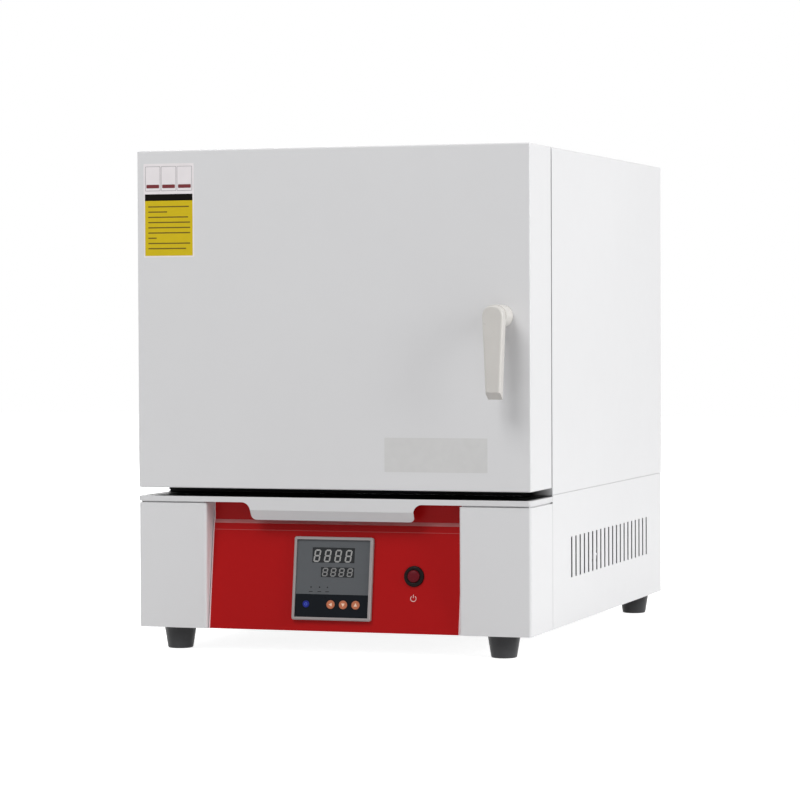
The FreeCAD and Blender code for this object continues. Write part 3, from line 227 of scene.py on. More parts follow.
white = powder_coat("white_enamel", (0.74, 0.74, 0.75))
print("powder coat:", white.material.name)

# %% [markdown]
# The ledge is white too, but the part of its top that lies under the door is painted black: this is painted shade,
# which makes the slit under the door a plain dark line behind the ledge's bright front edge. The painted shade
# stops a few millimetres short of the edge and fades out at the right end. What shows at the back of the slit has
# the same painted shade: the foot of the steel frame round the chamber's mouth, the floor under the chamber and the
# upper front edge of the base. The ledge is duller than the rest, because a surface that is seen so flat would
# mirror the white door over it.
#
# The wrap of the base is coated white on its outside. Its inside is painted dark as shade, and so the vent slots
# read as dark lines.

# %% Mix the ledge and the frame: white coat with black painted shade
# Black that is painted shade for the dark slit under the door.
SLIT_SHADE_BLACK = (0.008, 0.008, 0.008)


def part_black(name, is_black, shade_ends_at, fade, specular):
    """White powder coat with black painted shade where the mask, made from the finish, is one.

    The black fades out over the last metres, in X, before the place where it ends.
    """
    finish = powder_coat(name, (0.74, 0.74, 0.75))
    finish.set("Specular IOR Level", specular)
    black_share = (shade_ends_at - finish.along("X")) * (1 / fade)
    finish.seen = finish.blend(is_black(finish) * black_share, finish.coat, SLIT_SHADE_BLACK)
    finish.set("Base Color", finish.seen)
    return finish


RIGHT_SIDE = 0.2453
# Painted shade: black on the ledge top under the door, on the frame's foot and on the base's upper front edge.
ledge_coat = part_black("ledge_enamel", lambda finish: (finish.along("Z") > 0.1792) * (finish.along("Y") > -0.3005),
                        RIGHT_SIDE, 0.008, 0.03)
frame_coat = part_black("frame_enamel", lambda finish: finish.along("Z") < 0.1905, RIGHT_SIDE, 0.025, 0.1)
base_coat = part_black("base_enamel", lambda finish: (finish.along("Z") > 0.1785) * (finish.along("Y") < -0.2)
                       * (finish.along("X") > -0.2296), RIGHT_SIDE, 0.025, 0.5)
# Painted shade: the inside of the base's wrap is dark, so the vent slots look deep and unlit.
INSIDE_SHADE = (0.02, 0.02, 0.021)
inner_half = 0.2372
base_middle = base_coat.along("X") - 0.00725
inside = ((base_middle < inner_half) * (base_middle > -inner_half) * (base_coat.along("Z") < 0.1797)
          * (base_coat.along("Y") < 0.3212))
base_coat.set("Base Color", base_coat.blend(inside, base_coat.seen, INSIDE_SHADE))
print("two-coloured coats:", ledge_coat.material.name, frame_coat.material.name, base_coat.material.name)

# %% [markdown]
# ## The red coat of the control panel
#
# The leaning panel is a pale sheet with a red coat on its face. The coat stops a millimetre and a half short of
# the sheet's sides, so a pale line runs down each of them; its pink tint is painted bounce light from the red. A
# pale pink band on the step near the top and a hairline along the fold below it are painted highlights. All are
# masks on the surface's own place, measured up the slope from the panel's toe.

# %% Mix the red coat
LEAN = math.radians(8)
TOE_X, TOE_Y, TOE_Z = 0.00725, -0.2991, 0.026
red = powder_coat("red_enamel", (0.42, 0.005, 0.006), 0.3, 0.000015, 0.06)
red.set("Specular IOR Level", 0.12)


def between(amount, low, high):
    """One where an amount lies between two values, and zero elsewhere."""
    return (amount > low) * (amount < high)


up_slope = (red.along("Z") - TOE_Z) * math.cos(LEAN) + (red.along("Y") - TOE_Y) * math.sin(LEAN)
from_middle = red.node("ShaderNodeMath", {"operation": "ABSOLUTE"}, {0: red.along("X") - TOE_X})["Value"]
# Painted highlights: a pale pink band on the step and a hairline along the fold, where light would catch them.
step_highlight = between(up_slope, 0.1231, 0.1275) * (red.noise(40, 3, (1, 1, 4)) * 0.3 + 0.3)
fold_highlight = between(up_slope, 0.1152, 0.1157) * 0.25
with_highlights = red.blend(step_highlight + fold_highlight, red.coat, (0.7, 0.42, 0.42))
# The pale edge is the bare sheet; its pink tint is painted bounce light from the red.
bare_edge_and_bounce = from_middle > 0.1513
red.set("Base Color", red.blend(bare_edge_and_bounce, with_highlights, (0.88, 0.64, 0.66)))
print("red coat on", red.material.name)

# %% [markdown]
# ## Bare metals
#
# Rolled and zinc-plated steel is grey with fine streaks along the rolling direction. Streaks come from noise
# that is stretched a hundredfold one way, and they move both the colour and the roughness. The heating wire has
# been red hot, so it carries a dull dark scale.

# %% Mix the metals


def streaked_metal(name, colour, roughness, stretch=(20, 20, 900)):
    finish = Finish(name, colour, roughness, Metallic=1.0)
    streak = finish.noise(1, 3, stretch)
    finish.set("Base Color", finish.blend(streak, shade(colour, 0.82), shade(colour, 1.12)))
    finish.set("Roughness", streak * 0.22 + (roughness - 0.1))
    finish.bump(streak, 0.00001, 0.4)
    return finish


rolled_steel = streaked_metal("pale_steel", (0.62, 0.63, 0.64), 0.38, (900, 20, 20))
zinc = streaked_metal("zinc_steel", (0.56, 0.57, 0.59), 0.34, (60, 60, 600))
anodised = streaked_metal("black_anodised", (0.03, 0.03, 0.032), 0.5, (30, 900, 30))
scaled_wire = Finish("element_wire", (0.1, 0.09, 0.085), 0.7, Metallic=0.6)
scaled_wire.set("Base Color", scaled_wire.blend(scaled_wire.noise(400, 4), (0.05, 0.045, 0.045), (0.2, 0.16, 0.13)))
print("metals:", rolled_steel.material.name, zinc.material.name, anodised.material.name)

# %% [markdown]
# ## Moulded plastics and rubber
#
# Injection-moulded parts have a fine spark-eroded grain, finer than powder coat. The lever is a warm, slightly
# glossy off-white. The feet are dark rubber that is lighter towards the sole, so their colour follows the height.

# %% Mix the plastics and the rubber


def moulded(name, colour, roughness, grain=0.000012, size=1400, **constants):
    finish = Finish(name, colour, roughness, **constants)
    finish.set("Base Color", finish.blend(finish.noise(30, 3), shade(colour, 0.94), shade(colour, 1.06)))
    finish.set("Roughness", finish.noise(200, 2) * 0.12 + (roughness - 0.06))
    finish.bump(finish.noise(size, 1), grain, 0.3)
    return finish


DULL = {"Specular_IOR_Level": 0.2}
lever_white = moulded("handle_plastic", (0.64, 0.62, 0.59), 0.3)
bezel_grey = moulded("bezel_plastic", (0.32, 0.29, 0.287), 0.42)
black = moulded("black_plastic", (0.02, 0.02, 0.022), 0.55)
face_grey = moulded("display_grey", (0.1, 0.107, 0.115), 0.4, **DULL)
strip_black = moulded("key_strip", (0.004, 0.006, 0.009), 0.3, Specular_IOR_Level=0.1)
window_black = moulded("smoked_window", (0.018, 0.02, 0.022), 0.2, 0.000004, **DULL)
copper = moulded("copper_keys", (0.52, 0.17, 0.085), 0.35, **DULL)
blue = moulded("blue_key", (0.012, 0.02, 0.24), 0.4, **DULL)
switch_black = moulded("switch_black", (0.009, 0.005, 0.005), 0.35, Specular_IOR_Level=0.1)
switch_red = moulded("switch_red", (0.125, 0.006, 0.012), 0.42, Specular_IOR_Level=0.1)
rubber = moulded("dark_rubber", (0.04, 0.04, 0.042), 0.36, 0.00002, 500, Specular_IOR_Level=0.15)
# The rubber's colour grows lighter towards the sole.
sole_lightening = rubber.along("Z") * -20 + 0.4
rubber.set("Base Color", rubber.blend(sole_lightening, (0.04, 0.04, 0.042), (0.12, 0.121, 0.126)))
print("plastics:", lever_white.material.name, bezel_grey.material.name, rubber.material.name)

# %% [markdown]
# ## Ceramics behind the door
#
# The door's block and the packing round the chamber are pressed ceramic fibre: chalky, with short fibres and
# pits. The liner plates are cast ceramic, harder and a little yellow from firing. The sheath and the terminals
# are glazed.

# %% Mix the ceramics
fibre = Finish("fibre_board", (0.82, 0.8, 0.76), 0.9)
flock = fibre.noise(350, 5, (1, 1, 3))
fibre.set("Base Color", fibre.blend(flock, (0.7, 0.67, 0.61), (0.88, 0.86, 0.82)))
fibre.bump(flock, 0.0006, 0.6)

kiln = Finish("kiln_ceramic", (0.72, 0.67, 0.58), 0.8)
grit = kiln.noise(700, 4)
tint = kiln.blend(kiln.noise(14, 4), (0.74, 0.69, 0.6), (0.6, 0.52, 0.42))
kiln.set("Base Color", kiln.blend(grit * 0.5, tint, (0.5, 0.44, 0.36)))
kiln.bump(grit, 0.0004, 0.5)

glazed = moulded("fired_white", (0.82, 0.8, 0.74), 0.18, 0.00001, 300)
rope = Finish("rope_seal", (0.7, 0.69, 0.66), 0.92)
rope.bump(rope.noise(600, 3), 0.0003, 0.8)
print("ceramics:", fibre.material.name, kiln.material.name, glazed.material.name)

# %% [markdown]
# ## Dress the solid pieces
#
# Each solid keeps its shape and only takes a finish. The list goes by finish, so that a piece that belongs to a
# group can't be forgotten, and the cell stops if one is.

# %% Give each solid its finish
DRESS = {
    white: ["left_column", "right_column", "outer_casing", "rear_panel", "door_shell", "base_floor"],
    ledge_coat: ["ledge"],
    frame_coat: ["front_frame", "dividing_floor"],
    base_coat: ["base_wrap"],
    rolled_steel: ["panel_backing", "door_inner_plate", "bay_partition"],
    red: ["control_panel"],
    lever_white: ["handle_lever"],
    bezel_grey: ["controller_bezel"],
    black: ["controller_housing", "solid_state_relay", "terminal_strip", "cable_gland"],
    face_grey: ["display_face"],
    strip_black: ["key_plate"],
    window_black: ["display_windows"],
    copper: ["left_key", "down_key", "up_key"],
    blue: ["set_key"],
    switch_black: ["switch_ring"],
    switch_red: ["power_cap"],
    rubber: ["feet"],
    zinc: ["foot_screws", "casing_hinge_leaves", "door_hinge_leaves", "hinge_pins", "latch_shaft", "latch_pawl",
           "latch_bushes"],
    anodised: ["relay_heatsink"],
    fibre: ["insulation_bottom", "insulation_top", "insulation_left", "insulation_right", "insulation_rear",
            "door_insulation", "door_plug"],
    kiln: ["mouth_frame", "hearth_plate", "roof_plate", "left_heater_plate", "right_heater_plate"],
    glazed: ["element_terminals", "thermocouple"],
    scaled_wire: ["left_heating_wire", "right_heating_wire"],
    rope: ["door_seal"],
}


def dress(piece, finish):
    """Put one finish on a piece in place of what it came with."""
    piece.data.materials.clear()
    piece.data.materials.append(finish.material)


for finish, names in DRESS.items():
    for name in names:
        dress(nodes[name], finish)
bare = set(nodes) - {name for names in DRESS.values() for name in names}
assert not bare, bare
print("dressed", len(nodes), "solids in", len(DRESS), "finishes")

# %% [markdown]
# ## From a drawing to a piece
#
# The small pieces are drawn in millimetres, flat on a bench or round an upright axis, and are then laid on the
# furnace by a matrix. One helper does the last steps for all of them: scale to metres, smooth the shading between
# soft angles only, give a finish, and tie the piece to the body that it moves with.

# %% Turn a shape into a piece of the furnace
SOFT_ANGLE = math.radians(35)
METRES = Matrix.Scale(0.001, 4)


def settle(name, shape, finish, body, place=None, stands_for=()):
    """Make a piece from a shape that was drawn in millimetres, and let it ride on a body."""
    shape.transform(METRES @ (place or Matrix()))
    mesh = bpy.data.meshes.new(name)
    shape.to_mesh(mesh)
    shape.free()
    mesh.shade_smooth()
    mesh.set_sharp_from_angle(angle=SOFT_ANGLE)
    piece = bpy.data.objects.new(name, mesh)
    scene.collection.objects.link(piece)
    dress(piece, finish)
    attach(piece, body)
    if stands_for:
        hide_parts(*stands_for)
    print(name, len(mesh.polygons), "faces on", body)
    return piece


def gather(shapes):
    """One shape from several."""
    whole = bmesh.new()
    for shape in shapes:
        held = bpy.data.meshes.new("held")
        shape.to_mesh(held)
        shape.free()
        whole.from_mesh(held)
        bpy.data.meshes.remove(held)
    return whole


def moved(shape, x=0.0, y=0.0, z=0.0):
    """The same shape in another place."""
    bmesh.ops.translate(shape, vec=(x, y, z), verts=shape.verts)
    return shape


# %% [markdown]
# Three faces of the furnace carry small pieces: the front of the door, the leaning panel and the rear. A matrix
# for each has its X along the face, its Y up the face and its Z out of it, so that a piece is drawn as if the
# face lay on the bench. The panel leans back by 8 degrees from its toe, which is where its matrix starts.

# %% The faces that carry small pieces
UPRIGHT = Matrix.Rotation(math.pi / 2, 4, "X")
DOOR_FRONT = Matrix.Translation((0, -302.5, 0)) @ UPRIGHT
PANEL = Matrix.Translation(Vector((TOE_X, TOE_Y, TOE_Z)) * 1000) @ Matrix.Rotation(math.pi / 2 - LEAN, 4, "X")
REAR = Matrix.Translation((0, 322.5, 0)) @ Matrix.Rotation(math.pi, 4, "Z") @ UPRIGHT
CONTROLLER = -1.6
HINGE_SIDE = Matrix.Translation((-233.75, 0, 0)) @ Matrix.Rotation(-math.pi / 2, 4, "Z") @ UPRIGHT
print("panel points out along", [round(part, 3) for part in PANEL.to_3x3() @ Vector((0, 0, 1))])

# %% [markdown]
# ## Turned and cut shapes
#
# Keys, the push button, screw heads and feet are round, so each is half an outline that is turned about an axis.
# Labels, digits and symbols are flat, so each is an outline that is given a thickness. Both are a few lines of
# bmesh, and both close, so that the pieces are solid.

# %% Turn an outline


def turned(outline, sides=48):
    """A round shape from (radius, height) points. A point at radius 0 closes an end."""
    shape = bmesh.new()
    rings = []
    for radius, height in outline:
        if radius == 0:
            rings.append([shape.verts.new((0, 0, height))])
            continue
        turns = (math.tau * step / sides for step in range(sides))
        rings.append([shape.verts.new((radius * math.cos(turn), radius * math.sin(turn), height)) for turn in turns])
    if outline[0][0] > 0 and outline[-1][0] > 0:
        rings.append(rings[0])
    for low, high in zip(rings, rings[1:]):
        for step in range(sides):
            after = (step + 1) % sides
            corners = [low[step % len(low)], low[after % len(low)], high[after % len(high)], high[step % len(high)]]
            shape.faces.new(list(dict.fromkeys(corners)))
    bmesh.ops.recalc_face_normals(shape, faces=shape.faces)
    return shape


def cut_out(points, low, high):
    """A flat shape that is cut to an outline and reaches from one height to another."""
    shape = bmesh.new()
    face = shape.faces.new([shape.verts.new((x, y, low)) for x, y in points])
    grown = bmesh.ops.extrude_face_region(shape, geom=[face])
    lifted = [item for item in grown["geom"] if isinstance(item, bmesh.types.BMVert)]
    bmesh.ops.translate(shape, vec=(0, 0, high - low), verts=lifted)
    bmesh.ops.recalc_face_normals(shape, faces=shape.faces)
    return shape


def rounded(left, right, low, high, corner, steps=5):
    """The outline of a rectangle with round corners."""
    corners = ((right - corner, high - corner, 0), (left + corner, high - corner, 90),
               (left + corner, low + corner, 180), (right - corner, low + corner, 270))
    return [(x + corner * math.cos(math.radians(start + 90 * step / steps)),
             y + corner * math.sin(math.radians(start + 90 * step / steps)))
            for x, y, start in corners for step in range(steps + 1)]


print("a turned ring of", len(turned([(2, 0), (3, 0), (3, 1)]).faces), "faces")

# %% [markdown]
# ## Rubber feet
#
# Each foot is a moulded cone, widest under the base, with a small bead at the top, a softened sole and a deep
# hole that hides the head of its screw. The solid model's feet have flat facets, so smooth ones stand for them.

# %% Turn the feet
FOOT = [(3.2, 26), (18.6, 26), (19, 25.6), (19, 24.2), (18.5, 23.6), (14.95, 1.7), (14.7, 0.8), (14.1, 0.2), (13.3, 0),
        (9.6, 0), (8.8, 0.3), (8.5, 1.0), (8.5, 14), (3.2, 14)]
FOOT_PLACES = [(-190.75, -274.5), (205.25, -274.5), (-202.75, 287.5), (217.25, 287.5)]
feet = gather(moved(turned(FOOT, 56), x, y) for x, y in FOOT_PLACES)
settle("rubber_feet", feet, rubber, "cabinet", stands_for=["feet"])

# %% [markdown]
# ## Labels on the door
#
# Two printed films are stuck to the door. The upper one has a white strip with three empty frames, each over a
# dark red bar, then a black band and a yellow field with ruled lines. The lower one is a plain pale plate. Printed
# film is a tenth of a millimetre thick, and that thickness, not a painted line, gives each label its fine edge.

# %% Mix the label films


def label_film(name, colour, roughness=0.3, specular=0.25):
    """Printed film: a smooth face whose ink is very slightly uneven."""
    finish = Finish(name, colour, roughness, Specular_IOR_Level=specular)
    finish.set("Base Color", finish.blend(finish.noise(90, 4), shade(colour, 0.95), shade(colour, 1.04)))
    finish.set("Roughness", finish.noise(40, 2) * 0.1 + (roughness - 0.05))
    finish.bump(finish.noise(300, 2), 0.00001, 0.25)
    return finish


film_white = label_film("label_white", (0.88, 0.84, 0.855))
film_pale = label_film("label_pale", (0.685, 0.683, 0.68), 0.4)
ink_grey = label_film("label_outline", (0.33, 0.3, 0.32))
ink_black = label_film("label_black", (0.006, 0.005, 0.004), 0.3, 0.05)
ink_maroon = label_film("label_maroon", (0.19, 0.03, 0.035))
ink_yellow = label_film("label_yellow", (0.67, 0.5, 0.008))
ink_brown = label_film("label_rules", (0.17, 0.115, 0.008))
print("label films:", film_white.material.name, film_pale.material.name, ink_yellow.material.name)

# %% Stick the labels on the door
LEFT, RIGHT = -221.0, -161.4
FRAMES = 3
FRAME_PITCH = (RIGHT - LEFT) / FRAMES
frames, panes, bars = [], [], []
for index in range(FRAMES):
    start = LEFT + 0.5 + index * FRAME_PITCH
    end = start + FRAME_PITCH - 1
    frames.append(cut_out(rounded(start, end, 534.5, 563.2, 0.8), 0.1, 0.14))
    panes.append(cut_out(rounded(start + 0.5, end - 0.5, 535, 562.7, 0.5), 0.12, 0.17))
    bars.append(cut_out(rounded(start + 1.4, end - 1.4, 537.8, 542, 1), 0.15, 0.2))
FIRST_RULE, RULE_PITCH, RULE = 515.5, 6.08, 1.5
RULE_LENGTHS = (0.97, 0.45, 0.95, 1, 1, 1, 0.2, 1, 0.9)
rules = []
for line, length in enumerate(RULE_LENGTHS):
    height = FIRST_RULE - RULE_PITCH * line
    end = LEFT + 4 + (RIGHT - LEFT - 7) * length
    rules.append(cut_out(rounded(LEFT + 4, end, height, height + RULE, 0.4), 0.1, 0.15))
backing = cut_out(rounded(LEFT - 1.6, RIGHT + 1.6, 457.4, 566.4, 1), 0, 0.1)
band = cut_out(rounded(LEFT, RIGHT, 523.2, 530.9, 0.2), 0.1, 0.14)
field = cut_out(rounded(LEFT, RIGHT, 459.2, 523.2, 0.2), 0.1, 0.13)
settle("door_label_backing", backing, film_white, "door", place=DOOR_FRONT)
settle("door_label_frames", gather(frames), ink_grey, "door", place=DOOR_FRONT)
settle("door_label_panes", gather(panes), film_white, "door", place=DOOR_FRONT)
settle("door_label_bars", gather(bars), ink_maroon, "door", place=DOOR_FRONT)
settle("door_label_band", band, ink_black, "door", place=DOOR_FRONT)
settle("door_label_field", field, ink_yellow, "door", place=DOOR_FRONT)
settle("door_label_rules", gather(rules), ink_brown, "door", place=DOOR_FRONT)
plain = cut_out(rounded(72.2, 194.6, 210.5, 249.6, 0.8), 0, 0.12)
settle("door_plain_label", plain, film_pale, "door", place=DOOR_FRONT)

# %% [markdown]
# ## Digits behind the smoked windows
#
# A seven-segment digit is seven bars with pointed ends, leaning by 8 degrees. With the furnace off, every
# segment is a little lighter than the window round it, so each window reads as a row of pale eights.

# %% Cut the digits
SLANT = math.tan(math.radians(8))


def bar(start, end, half):
    """The outline of one segment: a bar with pointed ends."""
    way = (Vector(end) - Vector(start)).normalized()
    side = Vector((-way.y, way.x)) * half
    first, last = Vector(start) + way * 0.12, Vector(end) - way * 0.12
    inner_first, inner_last = first + way * half, last - way * half
    return [first, inner_first - side, inner_last - side, last, inner_last + side, inner_first + side]


def eight(left, low, width, height, half):
    """All seven segments of one digit."""
    right, middle, top = left + width, low + height / 2, low + height
    lines = [((left, low), (right, low)), ((left, middle), (right, middle)), ((left, top), (right, top)),
             ((left, low), (left, middle)), ((left, middle), (left, top)),
             ((right, low), (right, middle)), ((right, middle), (right, top))]
    pieces = []
    for start, end in lines:
        points = [(point.x + (point.y - low) * SLANT, point.y) for point in bar(start, end, half)]
        pieces.append(cut_out(points, 2.96, 3.05))
    return pieces


def row_of_digits(left, low, width, height, half, pitch):
    return gather([piece for index in range(4) for piece in eight(left + index * pitch, low, width, height, half)])


segment_pale = moulded("pale_segments", (0.36, 0.36, 0.355), 0.4, **DULL)
segment_dim = moulded("dim_segments", (0.25, 0.25, 0.25), 0.4, **DULL)
main_digits = row_of_digits(CONTROLLER - 23.7, 80.3, 6.1, 12.9, 0.85, 12.7)
set_digits = row_of_digits(CONTROLLER - 12.7, 63.7, 5.3, 8.6, 0.7, 10.05)
settle("main_digits", main_digits, segment_pale, "cabinet", place=PANEL)
settle("set_digits", set_digits, segment_dim, "cabinet", place=PANEL)

# %% [markdown]
# Three tiny lamps sit under the digits, each with a short printed dash. They are dark, because nothing is
# switched on.

# %% Add the tiny lamps and their dashes
lamp_dark = moulded("lamp_dark", (0.012, 0.012, 0.014), 0.3, **DULL)
BEAD = [(0, 3.35), (0.5, 3.3), (0.85, 3.15), (0.95, 2.95), (0, 2.95)]
BEAD_PLACES = [CONTROLLER + x for x in (-25.9, -15.4, -5.8)]
beads = gather(moved(turned(BEAD, 20), x, 50.5) for x in BEAD_PLACES)
settle("tiny_lamps", beads, lamp_dark, "cabinet", place=PANEL)
dashes = [cut_out(rounded(x - 2.4, x + 2.2, 45.0, 45.8, 0.2), 2.98, 3.03) for x in BEAD_PLACES]
settle("lamp_dashes", gather(dashes), lamp_dark, "cabinet", place=PANEL)

# %% [markdown]
# ## Keys
#
# Four round keys stand in the black strip. Each has a soft rim round a shallow dish, and the three copper ones
# carry an arrowhead. The blue one carries a small ring. Every key has its own body, so that it can be pressed,
# and its symbol rides with it.

# %% Turn the keys
KEY_ROW = 30.8


def key_outline(radius):
    return [(0, 3.5), (radius - 2.2, 3.52), (radius - 1.4, 3.66), (radius - 0.8, 3.8), (radius - 0.35, 3.72),
            (radius - 0.06, 3.4), (radius, 3.0), (radius, 0.7), (0, 0.7)]


def arrowhead(turn):
    """A triangle that points up, turned by some degrees."""
    points = [(0, 2.3), (-2.15, -1.6), (2.15, -1.6)]
    shape = cut_out(points, 3.4, 3.62)
    shape.transform(Matrix.Rotation(math.radians(turn), 4, "Z"))
    return shape


symbol_cream = moulded("cream_symbols", (0.85, 0.62, 0.47), 0.4)
symbol_blue = moulded("blue_symbol", (0.07, 0.12, 0.52), 0.4, **DULL)
for word, offset, turn in (("left", -1.2, 90), ("down", 14.0, 180), ("up", 29.2, 0)):
    x = CONTROLLER + offset
    key = moved(turned(key_outline(5)), x, KEY_ROW)
    settle(word + "_key_cap", key, copper, "key_" + word, PANEL, [word + "_key"])
    settle(word + "_key_arrow", moved(arrowhead(turn), x, KEY_ROW), symbol_cream, "key_" + word, place=PANEL)
SET_KEY = CONTROLLER - 31.2
key = moved(turned(key_outline(4)), SET_KEY, KEY_ROW)
settle("set_key_cap", key, blue, "key_set", PANEL, ["set_key"])
ring = turned([(1.1, 3.45), (1.1, 3.62), (1.75, 3.62), (1.75, 3.45)], 32)
settle("set_key_ring", moved(ring, SET_KEY, KEY_ROW), symbol_blue, "key_set", place=PANEL)

# %% [markdown]
# ## The power button
#
# The button is a black collar with a soft shoulder and, inside it, a deep red translucent cap. The panel under it
# has the usual on and off symbol: a broken circle and an upright stroke, printed in pale ink.

# %% Turn the collar and the cap
COLLAR = [(0, -6.9), (7.3, -6.9), (7.3, 1.5), (7.55, 2.1), (8.0, 2.5), (8.7, 2.6), (10.3, 2.6), (11.1, 2.35),
          (11.7, 1.7), (12, 0.8), (12, 0), (11, 0), (11, -30), (0, -30)]
CAP = [(0, 4.8), (2.6, 4.72), (4.8, 4.4), (6.3, 3.85), (6.95, 3.3), (7.2, 2.6), (7.2, -3.2), (0, -3.2)]
BUTTON = (95.9, 65.5)
settle("power_collar", moved(turned(COLLAR, 64), *BUTTON), switch_black, "cabinet", PANEL,
       ["switch_ring"])
settle("power_button_cap", moved(turned(CAP, 64), *BUTTON), switch_red, "power_button", PANEL,
       ["power_cap"])

# %% Print the on and off symbol
ink_pink = label_film("pale_ink", (0.74, 0.5, 0.48), 0.4)
SYMBOL_RADIUS, LINE = 3.3, 0.42
GAP = 38
sweep = [math.radians(90 + GAP + (360 - 2 * GAP) * step / 40) for step in range(41)]
outer = [((SYMBOL_RADIUS + LINE) * math.cos(turn), (SYMBOL_RADIUS + LINE) * math.sin(turn)) for turn in sweep]
inner = [((SYMBOL_RADIUS - LINE) * math.cos(turn), (SYMBOL_RADIUS - LINE) * math.sin(turn)) for turn in sweep]
stroke = cut_out(rounded(-LINE, LINE, 0.6, 4.6, 0.2), 0, 0.05)
symbol = gather([cut_out(outer + inner[::-1], 0, 0.05), stroke])
settle("power_symbol", moved(symbol, BUTTON[0], 40.2), ink_pink, "cabinet", place=PANEL)

# %% [markdown]
# ## Screws
#
# Pan-head screws hold the rear sheets, and flatter ones hold the hinge leaves. A head is a turned dome with a
# cross cut into it. The cross is a real cut, made once by a Boolean modifier, and the head is then repeated.

# %% Cut a cross into a head


def carved(shape, cutter):
    """A shape with another one taken out of it."""
    holders = []
    for item in (shape, cutter):
        mesh = bpy.data.meshes.new("held")
        item.to_mesh(mesh)
        item.free()
        holder = bpy.data.objects.new("held", mesh)
        scene.collection.objects.link(holder)
        holders.append(holder)
    carve = holders[0].modifiers.new("carve", "BOOLEAN")
    carve.operation, carve.solver, carve.object = "DIFFERENCE", "EXACT", holders[1]
    result = bmesh.new()
    result.from_object(holders[0], bpy.context.evaluated_depsgraph_get())
    for holder in holders:
        bpy.data.meshes.remove(holder.data)
    return result


def screw_head(radius, height):
    dome = [(0, height), (radius * 0.45, height * 0.96), (radius * 0.75, height * 0.78), (radius * 0.93, height * 0.45),
            (radius, 0.12), (radius, 0), (0, 0)]
    long, thin = radius * 0.55, radius * 0.13
    arms = [cut_out([(-a, -b), (a, -b), (a, b), (-a, b)], height * 0.35, height + 1) for a, b in
            ((long, thin), (thin, long))]
    return carved(turned(dome, 32), gather(arms))


def row_of_screws(radius, height, places):
    head = screw_head(radius, height)
    heads = [moved(head.copy(), x, y) for x, y in places]
    head.free()
    return gather(heads)


# %% Put the screws in
edges_x, edges_z = (-217.0, 7.25, 231.5), (194.5, 381.0, 567.5)
rear_places = [(-x, z) for x in edges_x for z in edges_z if (x, z) != (edges_x[1], edges_z[1])]
rear_places += [(-x, z) for x in (-217.0, 231.5) for z in (42.0, 166.0)]
settle("rear_screws", row_of_screws(3.7, 2.1, rear_places), zinc, "cabinet", REAR)
HINGE_HEIGHTS = [low + part for low in (229.3, 481.4) for part in (10, 30, 50)]
casing_screws = row_of_screws(3.5, 1.0, [(190.0, z) for z in HINGE_HEIGHTS])
settle("casing_hinge_screws", casing_screws, zinc, "cabinet", HINGE_SIDE)
door_screws = row_of_screws(3.5, 1.0, [(233.0, z) for z in HINGE_HEIGHTS])
settle("door_hinge_screws", door_screws, zinc, "door", HINGE_SIDE)

# %% [markdown]
# ## Coils in the chamber's grooves
#
# The heating wire is wound into a slim coil, about 6 mm across, that lies in four level grooves of each side
# plate and turns up from one to the next. Its ends are straight and leave through the rear. A coil is a helix
# round a route: at each step the point moves along the route and round it, and a thin tube follows.

# %% Wind a coil round a route


def softened(points, radius, steps=6):
    """A route with its corners rounded."""
    route = [points[0]]
    for before, corner, after in zip(points, points[1:], points[2:]):
        start = corner + (before - corner).normalized() * radius
        end = corner + (after - corner).normalized() * radius
        for step in range(steps + 1):
            share = step / steps
            route.append(start.lerp(corner, share).lerp(corner.lerp(end, share), share))
    route.append(points[-1])
    return route


def walked(route, stride):
    """Points at even strides along a route."""
    lengths = [0.0]
    for first, second in zip(route, route[1:]):
        lengths.append(lengths[-1] + (second - first).length)
    count = max(2, round(lengths[-1] / stride))
    points, leg = [], 0
    for step in range(count + 1):
        wanted = lengths[-1] * step / count
        while leg < len(route) - 2 and lengths[leg + 1] < wanted:
            leg += 1
        share = (wanted - lengths[leg]) / (lengths[leg + 1] - lengths[leg])
        points.append(route[leg].lerp(route[leg + 1], share))
    return points


def wound(route, across, reach, wire, turns_every, steps, sides, phase=0.0, closed=False):
    """A tube that winds round a flat route. Reach is (out of the route's plane, within it)."""
    points = walked(route, turns_every / steps)
    if closed:
        points = points[:-1]
    count = len(points)
    centres, outward = [], []
    for index, point in enumerate(points):
        before = points[index - 1] if index or closed else point
        after = points[(index + 1) % count] if index < count - 1 or closed else point
        side = (after - before).normalized().cross(across)
        turn = math.tau * index / steps + phase
        out = across * (reach[0] * math.cos(turn)) + side * (reach[1] * math.sin(turn))
        centres.append(point + out)
        outward.append(out.normalized())
    shape = bmesh.new()
    rings = []
    for index, centre in enumerate(centres):
        before = centres[index - 1] if index or closed else centre
        after = centres[(index + 1) % count] if index < count - 1 or closed else centre
        way = (after - before).normalized()
        out = (outward[index] - way * outward[index].dot(way)).normalized()
        beside = way.cross(out)
        rings.append([shape.verts.new(centre + out * (wire * math.cos(a)) + beside * (wire * math.sin(a)))
                      for a in (math.tau * k / sides for k in range(sides))])
    pairs = list(zip(rings, rings[1:])) + ([(rings[-1], rings[0])] if closed else [])
    for low, high in pairs:
        for k in range(sides):
            shape.faces.new([low[k], low[(k + 1) % sides], high[(k + 1) % sides], high[k]])
    if not closed:
        shape.faces.new(rings[0])
        shape.faces.new(rings[-1])
    bmesh.ops.recalc_face_normals(shape, faces=shape.faces)
    return shape


